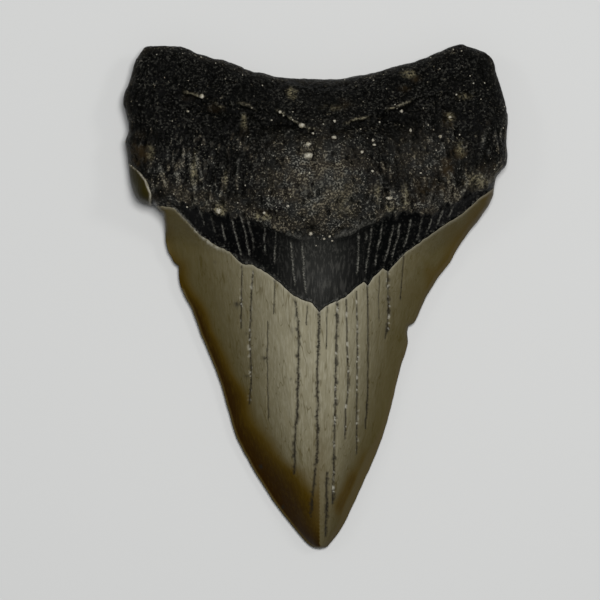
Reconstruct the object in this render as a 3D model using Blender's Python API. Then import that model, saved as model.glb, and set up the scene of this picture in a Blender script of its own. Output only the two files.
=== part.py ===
"""Fossil megalodon tooth: one solid, lying on its flat labial face.

Metres, +Z up. The tip points along -Y and the root along +Y, and the domed lingual
face looks up. The origin is under the middle of the tooth, on the surface it lies on.
"""

import math

import bmesh
import bpy
import numpy as np
from mathutils import Vector, kdtree, noise
from mathutils.geometry import delaunay_2d_cdt

# Driving dimensions
TOOTH_HEIGHT = 0.121
TOOTH_WIDTH = 0.092
ROOT_THICKNESS = 0.0265
RIDGE_X = 0.0010

# The outline seen from above, counter-clockwise in runs; two runs meet in a corner
CROWN_RIGHT_LOWER = [
    (0.0011, -0.0605), (0.0026, -0.0602), (0.0036, -0.0592), (0.0048, -0.0577),
    (0.0066, -0.0550), (0.0088, -0.0506), (0.0114, -0.0449), (0.0140, -0.0391),
    (0.0162, -0.0334), (0.0179, -0.0276), (0.0193, -0.0218), (0.0205, -0.0168),
    (0.0215, -0.0139), (0.0222, -0.0110), (0.0221, -0.0084),
]
RIGHT_NOTCH = [(0.0221, -0.0084), (0.0224, -0.0070), (0.0237, -0.0062), (0.0246, -0.0046)]
CROWN_RIGHT_UPPER = [
    (0.0246, -0.0046), (0.0265, -0.0002), (0.0282, 0.0026), (0.0301, 0.0055),
    (0.0323, 0.0084), (0.0340, 0.0113), (0.0368, 0.0156), (0.0392, 0.0185),
    (0.0412, 0.0214), (0.0426, 0.0242), (0.0428, 0.0257),
]
ROOT_OUTLINE = [
    (0.0428, 0.0257), (0.0433, 0.0286), (0.0443, 0.0300), (0.0457, 0.0317),
    (0.0460, 0.0341), (0.0457, 0.0377), (0.0460, 0.0425), (0.0455, 0.0461),
    (0.0445, 0.0497), (0.0433, 0.0533), (0.0426, 0.0564), (0.0412, 0.0581),
    (0.0395, 0.0590), (0.0364, 0.0600), (0.0352, 0.0605), (0.0335, 0.0602),
    (0.0299, 0.0588), (0.0239, 0.0564), (0.0191, 0.0552), (0.0131, 0.0535),
    (0.0059, 0.0522), (0.0011, 0.0521), (-0.0085, 0.0526), (-0.0128, 0.0537),
    (-0.0152, 0.0540), (-0.0205, 0.0562), (-0.0277, 0.0581), (-0.0318, 0.0598),
    (-0.0366, 0.0601), (-0.0402, 0.0600), (-0.0416, 0.0588), (-0.0426, 0.0574),
    (-0.0436, 0.0550), (-0.0443, 0.0521), (-0.0455, 0.0492), (-0.0460, 0.0466),
    (-0.0455, 0.0444), (-0.0448, 0.0420), (-0.0447, 0.0396), (-0.0455, 0.0372),
    (-0.0452, 0.0353), (-0.0448, 0.0317),
]
SHOULDER_FRAGMENT = [
    (-0.0448, 0.0317), (-0.0443, 0.0278), (-0.0438, 0.0257), (-0.0431, 0.0240),
    (-0.0419, 0.0228), (-0.0402, 0.0221), (-0.0391, 0.0218),
]
SHOULDER_CHIP = [(-0.0391, 0.0218), (-0.0385, 0.0219), (-0.0372, 0.0205), (-0.0365, 0.0201)]
CROWN_LEFT_UPPER = [
    (-0.0365, 0.0201), (-0.0361, 0.0170), (-0.0360, 0.0135), (-0.0354, 0.0112),
    (-0.0347, 0.0098), (-0.0340, 0.0084), (-0.0329, 0.0074),
]
CROWN_LEFT_LOWER = [
    (-0.0329, 0.0074), (-0.0328, 0.0050), (-0.0323, 0.0026), (-0.0311, -0.0002),
    (-0.0296, -0.0031), (-0.0275, -0.0089), (-0.0253, -0.0142), (-0.0229, -0.0204),
    (-0.0212, -0.0262), (-0.0191, -0.0334), (-0.0162, -0.0391), (-0.0128, -0.0449),
    (-0.0090, -0.0506), (-0.0056, -0.0550), (-0.0032, -0.0578), (-0.0018, -0.0593),
    (-0.0004, -0.0602), (0.0011, -0.0605),
]
OUTLINE_RUNS = [
    CROWN_RIGHT_LOWER, RIGHT_NOTCH, CROWN_RIGHT_UPPER, ROOT_OUTLINE,
    SHOULDER_FRAGMENT, SHOULDER_CHIP, CROWN_LEFT_UPPER, CROWN_LEFT_LOWER,
]

# Stations along the tooth, without the chips. The columns are y, the x of the left and
# right edges, the height of the edges and of the ridge, and how hollow the flanks are
LEFT_X, RIGHT_X, RIM_Z, RIDGE_Z, HOLLOW = range(1, 6)
STATIONS = np.array([
    (-0.0605, -0.0004, 0.0026, 0.0023, 0.0040, 0.20),
    (-0.0575, -0.0035, 0.0050, 0.0023, 0.0065, 0.45),
    (-0.0530, -0.0072, 0.0077, 0.0023, 0.0091, 0.70),
    (-0.0450, -0.0127, 0.0114, 0.0023, 0.0119, 0.70),
    (-0.0340, -0.0189, 0.0160, 0.0024, 0.0146, 0.50),
    (-0.0200, -0.0231, 0.0197, 0.0026, 0.0172, 0.35),
    (-0.0050, -0.0290, 0.0246, 0.0030, 0.0194, 0.30),
    (0.0080, -0.0340, 0.0318, 0.0036, 0.0208, 0.25),
    (0.0200, -0.0378, 0.0402, 0.0046, 0.0216, 0.25),
    (0.0300, -0.0446, 0.0446, 0.0068, 0.0220, 0.25),
    (0.0420, -0.0460, 0.0460, 0.0084, 0.0220, 0.25),
    (0.0605, -0.0460, 0.0460, 0.0080, 0.0220, 0.25),
])

# Edge of the crown's enamel on the lingual face, a lobed chevron, left to right
ENAMEL_EDGE = [
    (-0.0364, 0.0216), (-0.0337, 0.0213), (-0.0277, 0.0149), (-0.0241, 0.0125),
    (-0.0205, 0.0108), (-0.0174, 0.0077), (-0.0150, 0.0076), (-0.0121, 0.0060),
    (-0.0085, 0.0034), (-0.0061, 0.0010), (-0.0037, -0.0005), (-0.0008, -0.0014),
    (0.0008, -0.0036), (0.0025, -0.0021), (0.0071, 0.0000), (0.0097, 0.0024),
    (0.0114, 0.0036), (0.0124, 0.0026), (0.0136, 0.0046), (0.0160, 0.0067),
    (0.0174, 0.0062), (0.0191, 0.0082), (0.0215, 0.0106), (0.0251, 0.0132),
    (0.0299, 0.0166), (0.0347, 0.0197), (0.0395, 0.0238), (0.0424, 0.0259),
]
# Where the smooth neck ends and the rough root begins, left to right
NECK_TOP = [
    (-0.0365, 0.0224), (-0.0313, 0.0221), (-0.0241, 0.0197), (-0.0133, 0.0180),
    (-0.0097, 0.0156), (-0.0037, 0.0149), (0.0011, 0.0137), (0.0071, 0.0156),
    (0.0107, 0.0173), (0.0131, 0.0185), (0.0203, 0.0197), (0.0275, 0.0197),
    (0.0323, 0.0221), (0.0395, 0.0257), (0.0424, 0.0267),
]
# The root's crosswise ledge, left to right
LEDGE = [
    (-0.0397, 0.0485), (-0.0277, 0.0478), (-0.0181, 0.0456), (-0.0085, 0.0437),
    (-0.0037, 0.0406), (-0.0001, 0.0396), (0.0059, 0.0413), (0.0119, 0.0425),
    (0.0203, 0.0449), (0.0239, 0.0473), (0.0330, 0.0490),
]
# Lengthwise cracks in the enamel, each from the neck towards the tip
CRACKS = [
    [(-0.0176, 0.0060), (-0.0179, -0.0080)],
    [(-0.0150, 0.0050), (-0.0157, -0.0079), (-0.0155, -0.0187), (-0.0160, -0.0260)],
    [(-0.0097, 0.0010), (-0.0099, -0.0060)],
    [(-0.0049, -0.0022), (-0.0043, -0.0127), (-0.0045, -0.0247), (-0.0052, -0.0427)],
    [(0.0008, -0.0050), (0.0004, -0.0220), (0.0003, -0.0345), (-0.0006, -0.0463), (-0.0013, -0.0523)],
    [(0.0052, -0.0025), (0.0048, -0.0115), (0.0045, -0.0350), (0.0042, -0.0499)],
    [(0.0074, -0.0014), (0.0077, -0.0127), (0.0076, -0.0271), (0.0071, -0.0343)],
    [(0.0099, 0.0010), (0.0100, -0.0180), (0.0101, -0.0367)],
    [(0.0124, 0.0010), (0.0126, -0.0100), (0.0121, -0.0319)],
    [(0.0172, 0.0050), (0.0174, -0.0079), (0.0167, -0.0103)],
    [(0.0028, -0.0415), (0.0027, -0.0490), (0.0025, -0.0570)],
]
# Wrinkles of the neck: x at the top, x at the foot
WRINKLES = [
    (-0.0285, -0.0262), (-0.0262, -0.0236), (-0.0236, -0.0212), (-0.0208, -0.0178),
    (-0.0168, -0.0146), (-0.0122, -0.0119), (-0.0096, -0.0094), (-0.0062, -0.0052),
    (-0.0032, -0.0026), (0.0107, 0.0102), (0.0140, 0.0121), (0.0167, 0.0150),
    (0.0192, 0.0166), (0.0217, 0.0187), (0.0240, 0.0212), (0.0272, 0.0240),
]
# Pits and hollows of the root: x, y, radius across, radius along, depth
PITS = [
    (-0.0008, 0.0335, 0.0010, 0.0042, 0.0016),
    (0.0169, 0.0235, 0.0014, 0.0017, 0.0011),
    (-0.0229, 0.0214, 0.0013, 0.0018, 0.0010),
    (-0.0422, 0.0405, 0.0026, 0.0016, 0.0014),
    (0.0342, 0.0276, 0.0009, 0.0022, 0.0010),
    (-0.0090, 0.0408, 0.0050, 0.0020, 0.0012),
    (0.0203, 0.0418, 0.0046, 0.0019, 0.0012),
    (-0.0300, 0.0385, 0.0030, 0.0016, 0.0006),
    (0.0290, 0.0330, 0.0024, 0.0016, 0.0006),
]

# Relief
NECK_DROP = 0.00045
NECK_STEP_WIDTH = 0.0006
NECK_LEVELS_AT = 0.55
CRACK_HALF_WIDTH = 0.00035
CRACK_DEPTH = 0.00050
WRINKLE_HALF_WIDTH = 0.00060
WRINKLE_RISE = 0.00050
WRINKLE_SHORTEST = 0.0030
LEDGE_RISE = 0.0009
LEDGE_LIP = (0.0010, 0.0016)
LEDGE_HOLLOW = (-0.0018, 0.0014)
LEDGE_HOLLOW_SHARE = 0.6
LEDGE_ENDS = (0.030, 0.040)
FRAGMENT_CENTRE = (-0.0420, 0.0262)
FRAGMENT_RADII = (0.0026, 0.0050)
FRAGMENT_RISE = 0.0012
LUMP_RISE = 0.0005
LUMP_SIZE = 0.0050
HILL_FALL = 1.2

# Rounding of the rim, measured inwards from the outline: wide on the root, narrow on
# the crown's cutting edge, and changing between two heights at the shoulders
ROOT_RIM = 0.0085
CROWN_RIM = 0.0009
LABIAL_RIM = 0.0060
SHOULDERS = (0.021, 0.032)

# Root on the lingual face; it grows out of the crown's dome just below the neck's top
LOBE_HEIGHT = 0.0152
LOBE_TAPER = 0.11
BOSS_CENTRE = (0.0005, 0.0275)
BOSS_RADII = (0.0275, 0.0220)
BOSS_RISE = ROOT_THICKNESS - LOBE_HEIGHT
DOME_TO_ROOT = (-0.010, 0.004)
SMOOTH_TO_ROUGH = (-0.0005, 0.0015)

# Labial face, which the tooth lies on
LABIAL_ENAMEL_EDGE = [
    (-0.0446, 0.0290), (-0.0200, 0.0262), (0.0, 0.0236), (0.0200, 0.0258), (0.0430, 0.0282),
]
LABIAL_STEP_HALF_WIDTH = 0.0015
LABIAL_ROUNDNESS = 2.4
LABIAL_BOW = 0.48
LABIAL_LOW_Y = -0.0050
LABIAL_FLAT_CUT = 0.00025
LABIAL_LUMP_SHARE = 0.5
LOBE_CENTRES = [(-0.0310, 0.0440), (0.0310, 0.0440)]
LOBE_RADII = (0.0120, 0.0110)
SADDLE_CENTRE = (0.0, 0.0500)
SADDLE_RADII = (0.0150, 0.0170)
SADDLE_RISE = 0.0022
ROOT_LIFT = 0.0007

# Spacing of the surface points, and the share of it that two kinds of points keep apart
OUTLINE_STEP = 0.0016
LINE_STEP = 0.0022
CRACK_STEP = 0.0033
ROOT_STEP = 0.0014
CROWN_STEP = 0.0026
LABIAL_STEP = 0.0038
RIM_RINGS = (0.0004, 0.0015, 0.0034, 0.0058)
LABIAL_RINGS = (0.0006, 0.0026)
RING_LOWEST_Y = 0.024
RING_TRUE_SHARE = 0.93
RING_CLEARANCE = 0.4
GRID_CLEARANCE = 0.58
ROOT_GRID = (0.014, 0.061)
CROWN_GRID = (-0.060, 0.026)
LABIAL_GRID = (-0.060, 0.061)
ROOT_MARGIN = 0.0050
CROWN_MARGIN = 0.0016
PIT_RINGS = ((0.7, 6), (1.5, 8))
PIT_CLEARANCE = 0.0005
LEDGE_CLEARANCE = 0.0007
MERGE_DISTANCE = 1e-7

ROOT_COLOUR = (0.016, 0.015, 0.014, 1.0)
ENAMEL_COLOUR = (0.165, 0.150, 0.095, 1.0)
ROOT_ROUGHNESS = 0.42
ENAMEL_ROUGHNESS = 0.34
SHARP_ANGLE = math.radians(40)


def smooth_line(points, step):
    """Points about a step apart on a Catmull-Rom curve through the given ones."""
    p = np.array(points)
    p = np.vstack([2 * p[0] - p[1], p, 2 * p[-1] - p[-2]])
    line = []
    for a, b, c, d in zip(p[:-3], p[1:-2], p[2:-1], p[3:]):
        count = max(1, round(np.linalg.norm(c - b) / step))
        for t in np.arange(count) / count:
            bend = (c - a) * t + (2 * a - 5 * b + 4 * c - d) * t**2 + (3 * b - a - 3 * c + d) * t**3
            line.append(b + 0.5 * bend)
    line.append(p[-2])
    return np.array(line)


def even_line(points, step):
    """The same curve with its points evenly spaced."""
    fine = smooth_line(points, step / 8)
    along = np.concatenate([[0], np.cumsum(np.linalg.norm(np.diff(fine, axis=0), axis=1))])
    count = max(1, round(along[-1] / step))
    at = np.linspace(0, along[-1], count + 1)
    return np.column_stack([np.interp(at, along, fine[:, i]) for i in (0, 1)])


def outline_points(step):
    """The closed outline, counter-clockwise, without a repeated last point."""
    return np.vstack([even_line(run, step)[:-1] for run in OUTLINE_RUNS])


def curve(x, xs, ys):
    """Smooth interpolation: cubic pieces whose slopes come from the neighbours."""
    slopes = np.gradient(ys, xs)
    i = np.clip(np.searchsorted(xs, x) - 1, 0, len(xs) - 2)
    h = xs[i + 1] - xs[i]
    t = np.clip((x - xs[i]) / h, 0, 1)
    start = (2 * t**3 - 3 * t**2 + 1) * ys[i] + (t**3 - 2 * t**2 + t) * h * slopes[i]
    end = (3 * t**2 - 2 * t**3) * ys[i + 1] + (t**3 - t**2) * h * slopes[i + 1]
    return start + end


def ease(value, low, high):
    """0 below low, 1 above high, and a smooth rise between them."""
    t = np.clip((value - low) / (high - low), 0, 1)
    return t * t * (3 - 2 * t)


def across(x, line):
    """The y of a left-to-right line at x."""
    line = np.array(line)
    return np.interp(x, line[:, 0], line[:, 1])


def station(y, column):
    """One column of the stations at y."""
    return curve(y, STATIONS[:, 0], STATIONS[:, column])


def to_outline(x, y, outline):
    """Distance from each point to the outline."""
    side = np.roll(outline, -1, axis=0) - outline
    px = x[:, None] - outline[None, :, 0]
    py = y[:, None] - outline[None, :, 1]
    t = np.clip((px * side[:, 0] + py * side[:, 1]) / (side**2).sum(axis=1), 0, 1)
    return np.hypot(px - t * side[:, 0], py - t * side[:, 1]).min(axis=1)


def rounded(distance, radius):
    """Quarter-round rim: 0 at the outline, 1 from one radius inwards."""
    t = np.clip(distance / radius, 0, 1)
    return np.sqrt(1 - (1 - t) ** 2)


def rim_radius(y, root_radius):
    """Radius of the rim at y: the crown's below the shoulders, the root's above."""
    return CROWN_RIM + (root_radius - CROWN_RIM) * ease(y, *SHOULDERS)


def hill(x, y, centre, radii):
    """A round hill, 1 at its centre."""
    return np.exp(-HILL_FALL * (((x - centre[0]) / radii[0]) ** 2 + ((y - centre[1]) / radii[1]) ** 2))


def fold(distance, place_and_width):
    """A long rounded fold, 1 along its middle."""
    place, width = place_and_width
    return np.exp(-(((distance - place) / width) ** 2))


def sideways(x, y):
    """Place across the crown: -1 at its left edge, 0 on the ridge, 1 at its right edge."""
    left = RIDGE_X - station(y, LEFT_X)
    right = station(y, RIGHT_X) - RIDGE_X
    return np.clip((x - RIDGE_X) / np.where(x < RIDGE_X, left, right), -1, 1)


def lumps(x, y, layer):
    """Uneven bone, -1 to 1; each layer has lumps of its own."""
    return np.array([noise.noise(Vector((a / LUMP_SIZE, b / LUMP_SIZE, layer))) for a, b in zip(x, y)])


def crown_dome(x, y):
    """Height of the crown's lingual face above its edges, hollow beside them near the tip."""
    s2 = sideways(x, y) ** 2
    return (station(y, RIDGE_Z) - station(y, RIM_Z)) * (1 - s2) * (1 - station(y, HOLLOW) * s2)


def root_relief(x, y):
    """The root's ledge, pits, lumps and the enamel fragment on its left shoulder."""
    above_ledge = y - across(x, LEDGE)
    ledge = fold(above_ledge, LEDGE_LIP) - LEDGE_HOLLOW_SHARE * fold(above_ledge, LEDGE_HOLLOW)
    relief = LEDGE_RISE * ledge * (1 - ease(np.abs(x), *LEDGE_ENDS))
    for px, py, rx, ry, depth in PITS:
        relief -= depth * hill(x, y, (px, py), (rx, ry))
    relief += FRAGMENT_RISE * hill(x, y, FRAGMENT_CENTRE, FRAGMENT_RADII)
    return relief + LUMP_RISE * lumps(x, y, 0.0)


def neck_drop(x, y):
    """How far the neck lies under the crown's enamel, levelling out towards the root."""
    foot = across(x, ENAMEL_EDGE)
    band = np.maximum(across(x, NECK_TOP) - foot, NECK_STEP_WIDTH)
    above = y - foot
    return NECK_DROP * np.where(above > NECK_STEP_WIDTH / 2, 1 - ease(above / band, NECK_LEVELS_AT, 1.0), 0.0)


def lingual_height(x, y, outline):
    """Height of the upper face: the crown's dome, the neck, and the thick root."""
    rim = station(y, RIM_Z)
    above_neck = y - across(x, NECK_TOP)
    on_root = ease(above_neck, *DOME_TO_ROOT)
    root = LOBE_HEIGHT - LOBE_TAPER * (y - BOSS_CENTRE[1]) - rim
    root += BOSS_RISE * hill(x, y, BOSS_CENTRE, BOSS_RADII)
    body = crown_dome(x, y) * (1 - on_root) + root * on_root
    body += root_relief(x, y) * ease(above_neck, *SMOOTH_TO_ROUGH)
    edge = rounded(to_outline(x, y, outline), rim_radius(y, ROOT_RIM))
    return rim + body * edge - neck_drop(x, y)


def labial_height(x, y, outline):
    """Height of the lower face; it is cut off flat where the tooth rests."""
    rim = station(y, RIM_Z)
    above_edge = y - across(x, LABIAL_ENAMEL_EDGE)
    on_root = ease(above_edge, -LABIAL_STEP_HALF_WIDTH, LABIAL_STEP_HALF_WIDTH)
    crown = rim * np.abs(sideways(x, y)) ** LABIAL_ROUNDNESS - LABIAL_FLAT_CUT
    crown += LABIAL_BOW * (y - LABIAL_LOW_Y) ** 2
    root = ROOT_LIFT + LABIAL_LUMP_SHARE * LUMP_RISE * lumps(x, y, 7.0)
    root += SADDLE_RISE * hill(x, y, SADDLE_CENTRE, SADDLE_RADII)
    for centre in LOBE_CENTRES:
        root -= 2 * ROOT_LIFT * hill(x, y, centre, LOBE_RADII)
    inner = np.minimum(crown * (1 - on_root) + root * on_root, rim)
    edge = rounded(to_outline(x, y, outline), rim_radius(y, LABIAL_RIM))
    return np.maximum(rim - (rim - inner) * edge, 0.0)


class Plan:
    """Points and lines of one face seen from above, and what each lifts off the surface."""

    def __init__(self, outline):
        count = len(outline)
        self.outline = outline
        self.points = [tuple(p) for p in outline]
        self.lifts = [0.0] * count
        self.edges = [(i, (i + 1) % count) for i in range(count)]

    def add_line(self, line, lifts):
        """A feature line: its points, joined in order."""
        first = len(self.points)
        self.points += [tuple(p) for p in line]
        self.lifts += list(lifts)
        self.edges += [(i, i + 1) for i in range(first, len(self.points) - 1)]

    def add_fold(self, line, lift, half_width):
        """A narrow groove or ridge: its lifted middle between two lines on the surface."""
        lifts = np.full(len(line), lift)
        lifts[[0, -1]] = 0.0
        self.add_line(line, lifts)
        for side in (-half_width, half_width):
            foot = line[1:-1] + (side, 0.0)
            self.add_line(foot, np.zeros(len(foot)))

    def add_loose(self, candidates, clearance):
        """Points of their own, left out where others are already close."""
        taken = kdtree.KDTree(len(self.points))
        for i, (x, y) in enumerate(self.points):
            taken.insert((x, y, 0), i)
        taken.balance()
        for x, y in candidates:
            if taken.find((x, y, 0))[2] > clearance:
                self.points.append((x, y))
                self.lifts.append(0.0)

    def triangles(self):
        """The constrained triangulation inside the outline: points, faces, lifts, origins."""
        loop = list(range(len(self.outline)))
        points = [Vector(p) for p in self.points]
        found = delaunay_2d_cdt(points, self.edges, [loop], 1, MERGE_DISTANCE)
        flat, faces, origins = np.array([tuple(v) for v in found[0]]), found[2], found[3]
        lifts = np.array([self.lifts[o[0]] if o else 0.0 for o in origins])
        return flat, faces, lifts, origins


def inside(points, outline):
    """Which points lie inside the outline, by counting crossings."""
    x, y = points[:, 0], points[:, 1]
    odd = np.zeros(len(points), bool)
    for (ax, ay), (bx, by) in zip(outline, np.roll(outline, -1, axis=0)):
        if ay != by:
            odd ^= ((ay > y) != (by > y)) & (x < (bx - ax) * (y - ay) / (by - ay) + ax)
    return odd


def rim_points(outline, distance, lowest_y):
    """Points one distance inside the outline, where it lies above lowest_y."""
    tangent = np.roll(outline, -1, axis=0) - np.roll(outline, 1, axis=0)
    inward = np.column_stack([-tangent[:, 1], tangent[:, 0]])
    inward /= np.linalg.norm(inward, axis=1)[:, None]
    ring = outline + inward * distance
    true = to_outline(ring[:, 0], ring[:, 1], outline) > RING_TRUE_SHARE * distance
    return ring[true & inside(ring, outline) & (ring[:, 1] > lowest_y)]


def grid_points(step, low_and_high, margin, outline):
    """A triangular grid inside the outline, between two heights along the tooth."""
    rows = np.arange(*low_and_high, step * math.sqrt(0.75))
    half = TOOTH_WIDTH / 2
    starts = [-half + (k % 2) * step / 2 for k in range(len(rows))]
    points = np.array([(x, y) for y, start in zip(rows, starts) for x in np.arange(start, half, step)])
    clear = to_outline(points[:, 0], points[:, 1], outline) > margin
    return points[inside(points, outline) & clear]


def add_cracks(plan):
    """The enamel's cracks, narrow grooves with their bottom under the surface."""
    for crack in CRACKS:
        plan.add_fold(even_line(crack, CRACK_STEP), -CRACK_DEPTH, CRACK_HALF_WIDTH)


def add_wrinkles(plan):
    """The neck's wrinkles, low ridges from the root down to the enamel."""
    for top_x, foot_x in WRINKLES:
        top_y = across(top_x, NECK_TOP) + NECK_STEP_WIDTH
        foot_y = across(foot_x, ENAMEL_EDGE) + 2 * NECK_STEP_WIDTH
        if top_y - foot_y > WRINKLE_SHORTEST:
            line = even_line([(top_x, top_y), (foot_x, foot_y)], LINE_STEP)
            plan.add_fold(line, WRINKLE_RISE, WRINKLE_HALF_WIDTH)


def add_enamel_edge(plan):
    """The step from the enamel down to the neck: its lip, and its foot just above."""
    lip = np.array(ENAMEL_EDGE)
    foot = lip[1:-1] + (0.0, NECK_STEP_WIDTH)
    plan.add_line(lip, np.zeros(len(lip)))
    plan.add_line(foot, np.zeros(len(foot)))


def pit_points():
    """Centre and rings of points for each pit."""
    points = []
    for x, y, rx, ry, _ in PITS:
        points.append((x, y))
        for share, count in PIT_RINGS:
            turns = 2 * math.pi * np.arange(count) / count
            points += list(zip(x + share * rx * np.cos(turns), y + share * ry * np.sin(turns)))
    return np.array(points)


def ledge_points():
    """Points along the ledge, its lip and the hollow under it."""
    line = even_line(LEDGE, ROOT_STEP)
    return np.vstack([line + (0.0, shift) for shift in (LEDGE_LIP[0], 0.0, LEDGE_HOLLOW[0])])


def lingual_plan(outline):
    """Plan of the upper face."""
    plan = Plan(outline)
    add_enamel_edge(plan)
    add_cracks(plan)
    add_wrinkles(plan)
    for distance in RIM_RINGS:
        plan.add_loose(rim_points(outline, distance, RING_LOWEST_Y), RING_CLEARANCE * distance)
    plan.add_loose(rim_points(outline, CROWN_RIM, -TOOTH_HEIGHT / 2), RING_CLEARANCE * CROWN_RIM)
    pits = pit_points()
    plan.add_loose(pits[inside(pits, outline)], PIT_CLEARANCE)
    plan.add_loose(ledge_points(), LEDGE_CLEARANCE)
    plan.add_loose(grid_points(ROOT_STEP, ROOT_GRID, ROOT_MARGIN, outline), GRID_CLEARANCE * ROOT_STEP)
    plan.add_loose(grid_points(CROWN_STEP, CROWN_GRID, CROWN_MARGIN, outline), GRID_CLEARANCE * CROWN_STEP)
    return plan


def labial_plan(outline):
    """Plan of the lower face."""
    plan = Plan(outline)
    for distance in LABIAL_RINGS:
        plan.add_loose(rim_points(outline, distance, RING_LOWEST_Y), RING_CLEARANCE * distance)
    plan.add_loose(grid_points(LABIAL_STEP, LABIAL_GRID, CROWN_MARGIN, outline), GRID_CLEARANCE * LABIAL_STEP)
    return plan


def add_face(bm, plan, height, rim_verts, upward):
    """Lift a plan into the mesh; its outline uses the rim's shared vertices."""
    flat, faces, lifts, origins = plan.triangles()
    z = height(flat[:, 0], flat[:, 1], plan.outline) + lifts
    verts = []
    for (x, y), level, origin in zip(flat, z, origins):
        on_rim = [i for i in origin if i < len(rim_verts)]
        verts.append(rim_verts[on_rim[0]] if on_rim else bm.verts.new((x, y, level)))
    enamel_edge = ENAMEL_EDGE if upward else LABIAL_ENAMEL_EDGE
    for face in faces:
        corners = [verts[i] for i in face]
        made = bm.faces.new(corners if upward else corners[::-1])
        centre = made.calc_center_median()
        made.material_index = int(centre.y < across(centre.x, enamel_edge))


def plain_material(name, colour, roughness):
    """A material of one colour and gloss."""
    material = bpy.data.materials.new(name)
    material.use_nodes = True
    shader = material.node_tree.nodes["Principled BSDF"]
    shader.inputs["Base Color"].default_value = colour
    shader.inputs["Roughness"].default_value = roughness
    shader.inputs["Metallic"].default_value = 0.0
    return material


def build_tooth():
    """The whole tooth as one closed body."""
    outline = outline_points(OUTLINE_STEP)
    bm = bmesh.new()
    rim = [bm.verts.new((x, y, z)) for (x, y), z in zip(outline, station(outline[:, 1], RIM_Z))]
    add_face(bm, lingual_plan(outline), lingual_height, rim, True)
    add_face(bm, labial_plan(outline), labial_height, rim, False)
    bmesh.ops.recalc_face_normals(bm, faces=bm.faces)
    mesh = bpy.data.meshes.new("tooth")
    bm.to_mesh(mesh)
    bm.free()
    mesh.shade_smooth()
    mesh.set_sharp_from_angle(angle=SHARP_ANGLE)
    mesh.materials.append(plain_material("dark root", ROOT_COLOUR, ROOT_ROUGHNESS))
    mesh.materials.append(plain_material("enamel", ENAMEL_COLOUR, ENAMEL_ROUGHNESS))
    tooth = bpy.data.objects.new("tooth", mesh)
    bpy.context.scene.collection.objects.link(tooth)
    return tooth


def main():
    for obj in list(bpy.data.objects):
        bpy.data.objects.remove(obj, do_unlink=True)
    mesh = build_tooth().data
    mesh.calc_loop_triangles()
    print("tooth:", len(mesh.loop_triangles), "triangles")


main()
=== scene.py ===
# %% [markdown]
# # A fossil shark tooth
#
# The real thing is a great tooth turned to stone: a rough black root with two lobes, a
# smooth wrinkled neck, and a blade of grey-brown enamel that time has cracked lengthwise.
# A plain solid of it already exists, with the true size and the main forms.
# This lesson makes the surface that the eye sees: pores, fibres, cracks, chips, serrations,
# stuck grains of sand, and the stains in the enamel.
# The solid is loaded first.

import math

import bmesh
import bpy
import numpy as np
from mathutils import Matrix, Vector, kdtree, noise
from mathutils.geometry import delaunay_2d_cdt


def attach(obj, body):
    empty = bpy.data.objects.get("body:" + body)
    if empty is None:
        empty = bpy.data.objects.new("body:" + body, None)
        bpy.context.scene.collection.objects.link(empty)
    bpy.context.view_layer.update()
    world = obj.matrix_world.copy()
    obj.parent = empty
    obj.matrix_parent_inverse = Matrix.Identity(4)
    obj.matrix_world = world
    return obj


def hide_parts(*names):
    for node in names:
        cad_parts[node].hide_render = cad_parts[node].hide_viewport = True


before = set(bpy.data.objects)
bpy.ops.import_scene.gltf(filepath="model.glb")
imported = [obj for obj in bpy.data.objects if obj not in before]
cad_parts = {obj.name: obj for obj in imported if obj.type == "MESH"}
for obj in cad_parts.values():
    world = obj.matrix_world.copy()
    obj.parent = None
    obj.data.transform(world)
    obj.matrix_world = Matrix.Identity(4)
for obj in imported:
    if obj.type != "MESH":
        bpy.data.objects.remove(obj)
bpy.context.view_layer.update()
MM = 0.001

# %% [markdown]
# ## The camera
#
# The photograph looks straight down on the tooth, with the tip towards its lower edge.
# A camera that isn't turned looks down already, with +Y at the top of the picture, so it
# only has to be placed. A long lens from a metre away keeps the sides from spreading, as
# a short one would do to a thing that stands 27 mm proud of its edges.
# Lengths here are in millimetres, which suit a tooth, and MM turns them into metres.

# %% The camera
LENS = 250.0
SENSOR = 36.0
VIEW_WIDTH = 144.0
VIEW_CENTRE = (-3.7, -0.7)
OUTLINE_LEVEL = 5.0

camera = bpy.data.objects.new("camera", bpy.data.cameras.new("camera"))
camera.data.lens = LENS
camera.data.sensor_width = SENSOR
camera_height = OUTLINE_LEVEL + VIEW_WIDTH * LENS / SENSOR
camera.location = (VIEW_CENTRE[0] * MM, VIEW_CENTRE[1] * MM, camera_height * MM)
bpy.context.scene.collection.objects.link(camera)
bpy.context.scene.camera = camera
print("camera", round(camera_height), "mm above the table")
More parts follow.
